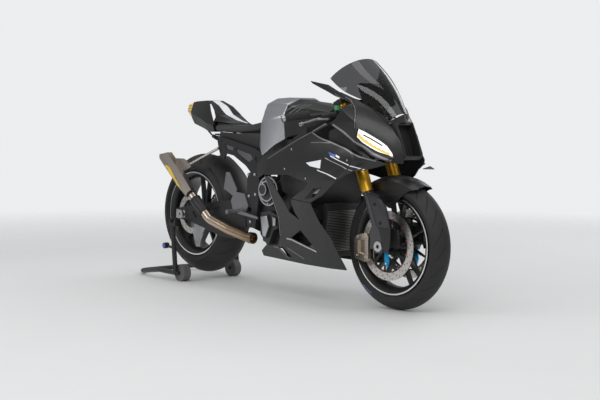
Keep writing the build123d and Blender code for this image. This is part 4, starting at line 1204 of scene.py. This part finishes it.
# %% [markdown]
# Stripes and marks
#
# Thin slanted stripes and a small blue mark are laid on the side panels as film. Each is drawn once as
# an upper and a lower line seen from the side, and laid on both sides of the machine. That takes two
# short lists of points, where a picture would take a whole unwrapped panel.

# %% Side panel marks
# columns: finish, upper line, lower line
SIDE_MARKS = [
    ("stripe_white", [(1124, 674), (1229, 690)], [(1152, 659), (1221, 650)]),
    ("stripe_white", [(1276, 711), (1350, 681), (1432, 650)], [(1278, 706), (1352, 676), (1424, 648)]),
    ("stripe_white", [(1202, 645), (1256, 628), (1316, 608)], [(1200, 641), (1254, 624), (1312, 604)]),
    ("stripe_grey", [(1251, 701), (1320, 673), (1388, 645)], [(1250, 698), (1318, 670), (1384, 642)]),
    ("mark_blue", [(1266, 728), (1300, 715)], [(1272, 712), (1304, 702)]),
    ("stripe_white", [(1304, 716), (1326, 706)], [(1306, 706), (1326, 698)]),
]
for i, (name, upper, lower) in enumerate(SIDE_MARKS):
    bm = bmesh.new()
    for side in SIDES:
        mark(bm, "side_fairings", upper, lower, side)
    piece(f"side_mark_{i + 1}", bm, "chassis", M[name])

# %% [markdown]
# Panel edges and creases
#
# Folded and moulded panels have rounded edges, and on black paint only those edges show, as pale
# lines. Lighting alone gives them where an edge is wide enough. The thin ones get a painted highlight:
# a stripe of lighter paint laid along the crease, a few millimetres wide.

# %% Panel edges and creases
# columns: finish, solid, width, line of (x, z)
CREASES = [
    (
        "edge_light",
        "nose_cowl",
        8,
        [(1272, 852), (1328, 815), (1376, 775), (1411, 752), (1443, 724), (1478, 704), (1512, 690)],
    ),
    ("line_dark", "nose_cowl", 2.2, [(1290, 978), (1312, 964), (1343, 927), (1358, 882), (1366, 836)]),
    ("edge_light", "nose_cowl", 1.6, [(1293, 978), (1315, 964), (1346, 927), (1361, 882), (1369, 836)]),
    (
        "edge_light",
        "side_fairings",
        5,
        [(1150, 816), (1191, 797), (1267, 773), (1347, 743), (1421, 706), (1476, 688)],
    ),
    ("edge_light", "side_fairings", 3, [(1150, 768), (1210, 770), (1272, 768)]),
    ("edge_light", "side_fairings", 5, [(1154, 820), (1240, 855)]),
    ("edge_light", "side_fairings", 3, [(800, 684), (983, 755), (1146, 816)]),
    ("edge_light", "tank_cover", 4, [(809, 888), (875, 951)]),
    ("edge_light", "tank_cover", 4, [(846, 893), (912, 951)]),
    ("edge_light", "tank_cover", 4, [(883, 898), (941, 951)]),
    ("edge_light", "tank_cover", 4, [(816, 864), (956, 907)]),
    # a painted highlight in the silver finish, along the belly fairing's lower edge
    ("silver_cast", "belly_fairings", 8, [(888, 297), (928, 295), (1024, 272), (1112, 251)]),
    ("edge_light", "belly_fairings", 4, [(760, 245), (800, 244), (872, 196)]),
    ("edge_light", "belly_fairings", 4, [(880, 250), (1000, 206)]),
    ("edge_light", "belly_fairings", 4, [(786, 598), (820, 500), (846, 400), (836, 304)]),
]
bms = {name: bmesh.new() for name in ("edge_light", "line_dark", "silver_cast")}
for name, node, width, line in CREASES:
    for side in SIDES:
        stripe(bms[name], node, line, width, side)
for name, bm in bms.items():
    piece("panel_" + name, bm, "chassis", M[name])

# %% [markdown]
# Tail bands
#
# A white band runs down each side of the tail and a wider one along its spine. On the sides they are
# drawn in the side view like the stripes. The spine is seen best from above, so its two lines are
# drawn as (x, y) and go straight down on to the cowl. The tail lamp's louvres are the same kind of
# sheet, in black.

# %% Tail bands
BAND_UPPER = [(124, 962), (151, 930), (190, 886), (206, 868)]
BAND_LOWER = [(138, 958), (176, 928), (207, 890), (210, 868)]
SPINE_HALF = 24
bm = bmesh.new()
for side in SIDES:
    mark(bm, "tail_cowl", BAND_UPPER, BAND_LOWER, side)
right_edge, left_edge = (
    [(96, y), (180, y * 1.15), (290, y * 0.75), (366, y * 0.2)] for y in (-SPINE_HALF, SPINE_HALF)
)
mark(bm, "tail_cowl", right_edge, left_edge, 0, lift=0.8, along=24, over=8)
piece("tail_bands", bm, "chassis", M["stripe_white"])

LOUVRES, LOUVRE_LOW, LOUVRE_STEP = 5, 922, 9
bm = bmesh.new()
for side in SIDES:
    for i in range(LOUVRES):
        z = LOUVRE_LOW + LOUVRE_STEP * i
        stripe(bm, "tail_lamp", [(-116, z), (-66, z - 1)], 2.6, side, lift=0.8, along=8)
piece("tail_lamp_louvres", bm, "chassis", M["plastic_black"])

# %% [markdown]
# Lamp details
#
# Along the foot of each headlamp lies a scalloped amber light, and a dark rim and a slit divide the
# lens. Cutting the lens into parts would change the solid. Sheets a little above the lens give the
# same divisions, and the scallops are the humps of a sine wave along the foot line.

# %% Lamp details
LAMP_FOOT = [(1381, 802), (1402, 775), (1437, 748), (1466, 730), (1500, 713)]
LAMP_RIM = [(1379, 838), (1379, 796), (1400, 769), (1435, 742), (1464, 724), (1496, 709), (1516, 707)]
LAMP_SLIT = [(1400, 806), (1424, 789), (1470, 757)]
SCALLOPS, SCALLOP_STEPS = 8, 6
FOOT_LIGHT, SCALLOP_HIGH, TAPER = 11, 5, 5
bms = {"lamp_yellow": bmesh.new(), "line_dark": bmesh.new()}
top_line = []
for i in range(SCALLOPS * SCALLOP_STEPS + 1):
    share = i / (SCALLOPS * SCALLOP_STEPS)
    spot = line_point(LAMP_FOOT, share)
    hump = SCALLOP_HIGH * abs(math.sin(share * SCALLOPS * math.pi))
    top_line.append((spot.x + 2, spot.y + FOOT_LIGHT + hump - TAPER * share))
for side in SIDES:
    mark(bms["lamp_yellow"], "headlamps", top_line, LAMP_FOOT, side, lift=0.6, along=48)
    stripe(bms["line_dark"], "headlamps", LAMP_SLIT, 5.0, side, lift=1.4)
    stripe(bms["line_dark"], "headlamps", LAMP_RIM, 4.0, side, lift=0.9, along=36)
piece("lamp_foot_light", bms["lamp_yellow"], "chassis", M["lamp_yellow"])
piece("lamp_slits", bms["line_dark"], "chassis", M["line_dark"])

# %% [markdown]
# Trim plates
#
# Covers hide the gap between seat and frame, guards shield the fork, and bright caps close the engine
# cases. All are flat or nearly so. Each could be modelled by hand, but an outline seen from the side
# and two widths say all there is to say about a plate, so one table makes them all.

# %% Trim plates
# rows of finish, body, slot, outline of (x, z), widths of the inner and outer face, on both sides
TRIM = {
    "seat_side_covers": (
        "plastic_black",
        "chassis",
        "plastic_black",
        [(262, 776), (270, 812), (400, 806), (540, 808), (640, 800), (648, 700), (560, 728), (330, 776)],
        98,
        107,
        True,
    ),
    "subframe_infill": (
        "infill_grey",
        "chassis",
        "frame_black",
        [(336, 746), (396, 733), (391, 715), (352, 721), (340, 728)],
        117,
        119,
        True,
    ),
    "subframe_infill_front": (
        "infill_grey",
        "chassis",
        "frame_black",
        [(424, 724), (538, 698), (556, 675), (520, 660), (430, 704)],
        117,
        119,
        True,
    ),
    # painted shade: near-black sheets just inside the belly fairing's slots, where only shade shows
    "slot_backings": (
        "line_dark",
        "chassis",
        "plastic_black",
        [(796, 254), (852, 258), (912, 206), (864, 196)],
        140,
        142,
        True,
    ),
    # painted shade: a near-black sheet in the gap at the top of the belly fairing's rear edge
    "gap_backings": (
        "line_dark",
        "chassis",
        "plastic_black",
        [(786, 616), (856, 616), (856, 580), (786, 580)],
        150,
        152,
        True,
    ),
    "fork_guards": (
        "guard_grey",
        "steering",
        "body_black",
        [(1389, 544), (1484, 513), (1515, 479), (1540, 390), (1467, 390), (1408, 516)],
        138,
        139.2,
        True,
    ),
    "slot_inserts": (
        "silver_cast",
        "chassis",
        "body_black",
        [(1128, 528), (1160, 551), (1208, 557), (1176, 533)],
        232,
        235,
        True,
    ),
    "adjuster_plates": (
        "silver_cast",
        "chassis",
        "axle_steel",
        [(-41, 345), (-41, 385), (31, 385), (31, 345)],
        168,
        169.5,
        True,
    ),
    "case_cover": (
        "silver_cast",
        "chassis",
        "engine_metal",
        [(703, 392), (750, 400), (766, 350), (739, 295), (718, 300), (712, 340)],
        -192,
        -190,
        False,
    ),
    "case_cover_front": (
        "silver_cast",
        "chassis",
        "engine_metal",
        [(789, 397), (812, 389), (809, 355), (793, 352)],
        -188,
        -186,
        False,
    ),
}
for name, (look, body, slot_name, outline, inner, outer, twice) in TRIM.items():
    bm = bmesh.new()
    plate(bm, outline, inner, outer)
    if twice:
        plate(bm, outline, -outer, -inner)
    piece(name, bm, body, M[look], 0.6)

# %% [markdown]
# Grips, levers and fluid pots
#
# The rider's hands rest on ribbed rubber grips with a metal weight at each end, and a bent lever and a
# small fluid pot sit beside each. Everything here is round, so bars of a few radii do. The right side
# is the left side with its width turned over, which a small function does for any place.

# %% Grips, levers and fluid pots
GRIP_IN, GRIP_OUT, BAR_END = (1135, 260, 901), (1078, 360, 881), (1071, 372, 877)
LEVER = [(1210, 200, 878), (1186, 255, 877), (1182, 343, 855)]
GRIP_RADIUS, RIB_RADIUS, RIBS = 17.1, 17.9, 18


def swapped(place, side):
    """A place that is given for the left side, on either side."""
    x, y, z = place
    return x, side * y, z


def between(start, end, share):
    """The place at a share of the way from one place to another."""
    return tuple(a + (b - a) * share for a, b in zip(start, end))


bms = {name: bmesh.new() for name in ("grip_rubber", "silver_cast", "pot_green")}
for side in SIDES:
    inner, outer = swapped(GRIP_IN, side), swapped(GRIP_OUT, side)
    bar(bms["grip_rubber"], inner, outer, GRIP_RADIUS, 24)
    for i in range(RIBS):
        low, high = between(inner, outer, (i + 0.2) / RIBS), between(inner, outer, (i + 0.7) / RIBS)
        bar(bms["grip_rubber"], low, high, RIB_RADIUS, 24)
    bar(bms["silver_cast"], outer, swapped(BAR_END, side), 18.4, 24)
    points = [swapped(p, side) for p in LEVER]
    bar(bms["silver_cast"], points[0], points[1], 6.4, 12)
    bar(bms["silver_cast"], points[1], points[2], 5.4, 12)
    bar(bms["silver_cast"], (1182, side * 343, 855), (1182, side * 357, 851), 8.3, 16)
    bar(bms["pot_green"], (1222, side * 160, 919), (1222, side * 160, 940), 15.3, 24)
piece("grips", bms["grip_rubber"], "steering", M["grip_rubber"])
piece("lever_blades", bms["silver_cast"], "steering", M["silver_cast"])
piece("fluid_pots", bms["pot_green"], "steering", M["pot_green"])

# %% [markdown]
# Sleeves, caps and stays
#
# A black sleeve clamps the pipe to the silencer, the knobs of the stand have blue caps, thin stays
# hold up the tail, and bright rings close the axle and the rollers. They are small turned parts that
# the solids leave out, each a bar or a ring of its own, set a hair outside what it fits on.

# %% Sleeves, caps and stays
SLEEVE_LOW, SLEEVE_HIGH = (262, -203, 388), (183, -209.3, 455.5)
BEAD = 0.08
bm = bmesh.new()
bar(bm, SLEEVE_LOW, SLEEVE_HIGH, 29.7, 32)
for share in (BEAD, 0.92):
    spot = between(SLEEVE_LOW, SLEEVE_HIGH, share)
    ahead = between(SLEEVE_LOW, SLEEVE_HIGH, share + BEAD)
    bar(bm, spot, ahead, 31.0, 32)
piece("link_sleeve", bm, "chassis", M["cast_black"], 0.8)

bm = bmesh.new()
for side in SIDES:
    bar(bm, (-72, side * 230.5, 190), (-72, side * 233.5, 190), 12.5, 24)
piece("knob_caps", bm, "chassis", M["mark_blue"], 0.8)

STAY, STAY_RADIUS = [(66, 56, 852), (138, 80, 812), (228, 106, 776)], 4.5
bm = bmesh.new()
for side in SIDES:
    rear, bend, front = (swapped(p, side) for p in STAY)
    bar(bm, rear, bend, STAY_RADIUS, 12)
    bar(bm, bend, front, STAY_RADIUS, 12)
piece("tail_stays", bm, "chassis", M["cast_black"])

bm = bmesh.new()
turned(bm, [(25, -169.5), (25, -174), (15, -174), (15, -169.5)], REAR_AXLE, 48)
for side in SIDES:
    bar(bm, (23, side * 215.5, 46), (23, side * 218, 46), 9, 16)
piece("axle_rings", bm, "chassis", M["axle_steel"])

# %% [markdown]
# Silencer plate and case rings
#
# The silencer carries a bare yellow plate, wrapped round its curve, and the engine's round covers are
# edged with bright turned rings. The plate is a sheet laid on from the right side, as a stripe is, and
# the rings are spun, because a spun ring is round at any distance.

# %% Silencer plate and case rings
COVER, CAP = (748, 522), (730, 530)
PLATE_UPPER, PLATE_LOWER = [(-28, 634), (10, 621), (107, 509)], [(-46, 612), (0, 596), (88, 498)]
bm = bmesh.new()
mark(bm, "silencer", PLATE_UPPER, PLATE_LOWER, -1, lift=0.8, along=16)
piece("silencer_plate", bm, "chassis", M["plate_yellow"])
bm = bmesh.new()
turned(bm, [(30, -202), (30, -204), (24, -204), (24, -202)], CAP, 48)
turned(bm, [(73.5, -180), (73.5, -182), (66, -182), (66, -180)], COVER, 64)
turned(bm, [(52, -192), (52, -193.2), (45, -193.2), (45, -192)], COVER, 64)
piece("engine_rings", bm, "chassis", M["silver_cast"])

# %% [markdown]
# Screws in guards, calipers and panels
#
# Covers and panels are held by cap screws with a recess for the key. They are easy to leave out, and a
# machine without them looks cast in one. Each is a short bar whose outer face is inset and pushed in.
# Where the panel is curved, its own surface says how far out the screw sits.


# %% Screws in guards, calipers and panels
def screw(bm, place, along, radius, height):
    """A cap screw with a recess in its head."""
    x, y, z = place
    reach = Vector(along).normalized() * height
    verts = bar(bm, place, (x + reach.x, y + reach.y, z + reach.z), radius, 12)
    faces = {f for v in verts for f in v.link_faces if len(f.verts) == 12}
    head = max(faces, key=lambda f: f.calc_center_median().dot(reach))
    bmesh.ops.inset_individual(bm, faces=[head], thickness=radius * 0.4 / 1000)
    bmesh.ops.translate(bm, verts=head.verts, vec=reach * -0.6 / 1000)


# columns: body, finish, slot, and rows of (x, y, z) with a radius; a y of 0 is read from the side fairing
SCREWS = {
    "guard_screws": ("steering", "line_dark", "body_black", [((1444, 139, 491), 8), ((1480, 139, 407), 8)]),
    "caliper_screws": (
        "steering",
        "axle_steel",
        "caliper_nickel",
        [((1298, 99.5, 246), 6), ((1300, 99.5, 332), 6), ((1352, 99.5, 240), 6), ((1354, 99.5, 334), 6)],
    ),
    "panel_screws": (
        "chassis",
        "axle_steel",
        "body_black",
        [((1010, 0, 735), 5), ((1120, 0, 600), 5), ((960, 0, 640), 5), ((1370, 0, 690), 5)],
    ),
}
HEAD = 2.5
for name, (body, look, slot_name, rows) in SCREWS.items():
    bm = bmesh.new()
    for (x, y, z), radius in rows:
        for side in SIDES:
            width = y or (landed("side_fairings", x, z, side, 0.2).y * 1000 * side)
            screw(bm, (x, side * width, z), (0, side, 0), radius, HEAD)
    piece(name, bm, body, M[look])

# %% [markdown]
# Screws in the engine cases and the sprocket
#
# Round covers are held by a ring of screws, evenly spaced so that the gasket is pressed alike all
# round. They could be placed one by one, but a circle of places is shorter and can't drift. The main
# case has a few larger ones on both sides, and the rear sprocket turns with six of its own.

# %% Screws in the engine cases and the sprocket
CASE_SCREWS = ((586, 600), (636, 600), (590, 490), (640, 500), (600, 360))
# centre on the left side's cover
LEFT_COVER = (960, 400)


def screw_ring(bm, centre, reach, width, side, count, radius, height):
    """Screws evenly round a crosswise centre, facing out to one side."""
    for i in range(count):
        turn = math.tau * i / count
        place = (centre[0] + reach * math.cos(turn), width, centre[1] + reach * math.sin(turn))
        screw(bm, place, (0, side, 0), radius, height)


bm = bmesh.new()
screw_ring(bm, COVER, reach=62, width=-180, side=-1, count=8, radius=5, height=4)
screw_ring(bm, LEFT_COVER, reach=64, width=180, side=1, count=10, radius=5, height=3)
for x, z in CASE_SCREWS:
    for side in SIDES:
        screw(bm, (x, side * 170, z), (0, side, 0), 8, 5)
piece("case_screws", bm, "chassis", M["axle_steel"])
bm = bmesh.new()
screw_ring(bm, REAR_AXLE, reach=60, width=116.9, side=1, count=6, radius=6, height=4)
piece("sprocket_screws", bm, "rear_wheel", M["axle_steel"])

# %% [markdown]
# Wheel sensor brackets
#
# A sensor by each front disc reads the wheel's speed, on a bracket of blue anodised alloy. It is a
# small part, but its colour stands out against the black fork. An outline from the side and a bevel
# make the bracket, and a screw and a stub of bar are the sensor.

# %% Wheel sensor brackets
BRACKET = [(1470, 292), (1492, 288), (1502, 232), (1494, 206), (1480, 206), (1472, 240)]
bm = bmesh.new()
for side in SIDES:
    low, high = sorted((side * 93.5, side * 101))
    plate(bm, BRACKET, low, high)
piece("sensor_brackets", bm, "steering", M["anodised_blue"], 1.0)
bm = bmesh.new()
for side in SIDES:
    screw(bm, (1487, side * 101, 222), (0, side, 0), 6, 5)
    bar(bm, (1500, side * 96, 262), (1520, side * 96, 250), 6, 12)
piece("sensor_screws", bm, "steering", M["axle_steel"])

# %% [markdown]
# Mark on the front tyre
#
# A short blue mark is printed on the front tyre's wall, low down by the ground. It could be part of
# the rubber's finish, but a sheet keeps its edges crisp. Its points lie on three arcs about the axle,
# and each is laid on the tyre from the right side.

# %% Mark on the front tyre
MARK_PLACE, MARK_RADII = (1326, 89), (243, 251, 259)
MARK_TURN, MARK_STEPS = 14, 12
tyre_side = math.degrees(math.atan2(MARK_PLACE[1] - FRONT_AXLE[1], MARK_PLACE[0] - FRONT_AXLE[0]))
bm = bmesh.new()
rows = []
for radius in MARK_RADII:
    row = []
    for i in range(MARK_STEPS + 1):
        turn = math.radians(tyre_side - MARK_TURN / 2 + MARK_TURN * i / MARK_STEPS)
        x, z = FRONT_AXLE[0] + radius * math.cos(turn), FRONT_AXLE[1] + radius * math.sin(turn)
        row.append(bm.verts.new(landed("front_tyre", x, z, -1, 0.5)))
    rows.append(row)
strip_between(bm, rows)
thickened(bm, bm.faces[:], (0, -FILM, 0))
piece("tyre_mark", bm, "front_wheel", M["mark_blue"])

# %% [markdown]
# Display glass
#
# The instrument is a slab behind the screen with a dark glass over it, blank because it is switched
# off. A finish could not show where the glass ends, so the glass is a thin plate of its own. It leans
# with the instrument: the outline is drawn flat and one matrix turns it and puts it in place.

# %% Display glass
DISPLAY, DISPLAY_LEAN = (1318, 0, 990), math.radians(62)
GLASS = [(-48, -86), (48, -86), (48, 86), (-48, 86)]
# below the middle of the instrument and thickness, in metres
GLASS_DOWN, GLASS_THICK = 0.0113, 0.001
bm = bmesh.new()
lean = Matrix.Translation(at(*DISPLAY)) @ Matrix.Rotation(DISPLAY_LEAN, 4, "Y")
corners = [bm.verts.new(lean @ Vector((u / 1000, v / 1000, -GLASS_DOWN))) for u, v in GLASS]
thickened(bm, [bm.faces.new(corners)], lean.to_3x3() @ Vector((0, 0, -GLASS_THICK)))
piece("display_glass", bm, "chassis", M["line_dark"])

# %% [markdown]
# Camera
#
# The camera stands where the photograph was taken from, at the height of the seat and well ahead of
# the machine. It could be pointed by eye, but its place, turn and lens were worked out from the
# wheels and the wheelbase, so a picture from it can be laid over the photograph.

# %% Camera
LENS, SENSOR = 69.86, 36.0
EYE = (5144.0, -3901.0, 847.0)
YAW, PITCH, ROLL = math.radians(48.1836), math.radians(-3.6614), math.radians(0.179)
forward = Vector((-math.sin(YAW) * math.cos(PITCH), math.cos(YAW) * math.cos(PITCH), math.sin(PITCH)))
level = Vector((math.cos(YAW), math.sin(YAW), 0.0))
upward = level.cross(forward)
right = level * math.cos(ROLL) + upward * math.sin(ROLL)
upward = right.cross(forward)
camera_data = bpy.data.cameras.new("camera")
camera_data.sensor_width = SENSOR
camera_data.lens = LENS
camera_data.clip_end = 60.0
camera = bpy.data.objects.new("camera", camera_data)
bpy.context.scene.collection.objects.link(camera)
turn = Matrix((right, upward, -forward)).transposed().to_4x4()
camera.matrix_world = Matrix.Translation(at(*EYE)) @ turn
bpy.context.scene.camera = camera
print("camera at", tuple(round(c, 3) for c in camera.location))


# %% [markdown]
# Floor
#
# A machine has to stand on something, or it seems to float. A curved backdrop would show its bend in
# the bright metal. A wide pale disc holds the shadow, and it fades into the pale surroundings well
# beyond the wheels, so that no horizon cuts across the picture.

# %% Floor
# metres from the middle where the floor starts to fade and where it is gone
FADE_START, FADE_END = 2.4, 6.0
FLOOR_RADIUS = 30.0


def floor_material():
    """Pale matt floor that fades with the distance from the machine."""
    material, tree, shader = start_material("floor_pale")
    values = {"Colour": (0.72, 0.72, 0.72, 1.0), "Colour spread": 0.02, "Roughness": 0.7}
    values.update({"Roughness spread": 0.04, "Scale": 60.0, "Relief": 0.02})
    made = effect(tree, GRAIN, values)
    for label in ("Normal", "Roughness"):
        put(tree, shader[label], made[label])
    put(tree, shader["Base Color"], made["Colour"])
    away = tree.nodes.new("ShaderNodeVectorMath")
    away.operation = "LENGTH"
    put(tree, away.inputs[0], object_place(tree))
    fade = tree.nodes.new("ShaderNodeMapRange")
    put(tree, fade.inputs["Value"], away.outputs["Value"])
    fade.inputs["From Min"].default_value = FADE_START
    fade.inputs["From Max"].default_value = FADE_END
    fade.inputs["To Min"].default_value = 1.0
    fade.inputs["To Max"].default_value = 0.0
    put(tree, shader["Alpha"], fade.outputs[0])
    return material


bm = bmesh.new()
bmesh.ops.create_circle(bm, cap_ends=True, segments=96, radius=FLOOR_RADIUS)
mesh = bpy.data.meshes.new("floor")
bm.to_mesh(mesh)
bm.free()
mesh.materials.append(floor_material())
floor = bpy.data.objects.new("floor", mesh)
bpy.context.scene.collection.objects.link(floor)
print("floor", len(mesh.polygons), "face, fades from", FADE_START, "to", FADE_END, "m")

# %% [markdown]
# Surroundings
#
# In a studio the walls are as pale as the floor, and they show in metal and through the screen. A
# plain world colour gives that, but at one strength it either greys the background or floods black
# paint with light. Light Path tells the kinds of ray apart: what the camera sees is full white, what
# glossy paint mirrors is dimmer, and the rest is soft fill.

# %% Surroundings
WORLD_COLOUR, FILL, MIRRORED_LESS = (0.84, 0.85, 0.86, 1.0), 0.85, 0.5
world = bpy.data.worlds.new("studio")
bpy.context.scene.world = world
world.use_nodes = True
tree = world.node_tree
background = tree.nodes["Background"]
background.inputs["Color"].default_value = WORLD_COLOUR
rays = tree.nodes.new("ShaderNodeLightPath").outputs
seen = maths(tree, "MAXIMUM", rays["Is Camera Ray"], rays["Is Transmission Ray"])
glossy = maths(tree, "MULTIPLY", rays["Is Glossy Ray"], MIRRORED_LESS)
plain = maths(tree, "SUBTRACT", FILL, glossy)
put(tree, background.inputs["Strength"], maths(tree, "MAXIMUM", seen, plain))
print("world:", world.name)

# %% [markdown]
# Lamps
#
# Bikes are photographed under large soft panels, which draw long highlights along the panels' edges.
# Spot lamps would make hard small glints instead. A key panel stands ahead and to the right, one
# lights the side, one hangs above and a weaker one fills the far side. Their power is low, so that
# pale surfaces keep their colour and colours come out about as they are written.

# %% Lamps
# columns: place and aim in millimetres, width and length in metres, watts
LIGHTS = {
    "key": ((3600, -2600, 3300), (700, 0, 500), 2.4, 1.6, 42),
    "side": ((-400, -3800, 2300), (500, 0, 500), 3.0, 1.2, 34),
    "top": ((700, 0, 4200), (700, 0, 0), 4.0, 1.2, 22),
    "far": ((900, 3800, 2500), (700, 0, 500), 3.0, 1.2, 26),
}
for name, (place, aim, width, length, watts) in LIGHTS.items():
    data = bpy.data.lights.new(name, "AREA")
    data.shape = "RECTANGLE"
    data.size, data.size_y, data.energy = width, length, watts
    light = bpy.data.objects.new(name, data)
    bpy.context.scene.collection.objects.link(light)
    facing = (at(*aim) - at(*place)).to_track_quat("-Z", "Y").to_matrix().to_4x4()
    light.matrix_world = Matrix.Translation(at(*place)) @ facing
bpy.context.scene.view_settings.view_transform = "Standard"
print(len(LIGHTS), "lights")
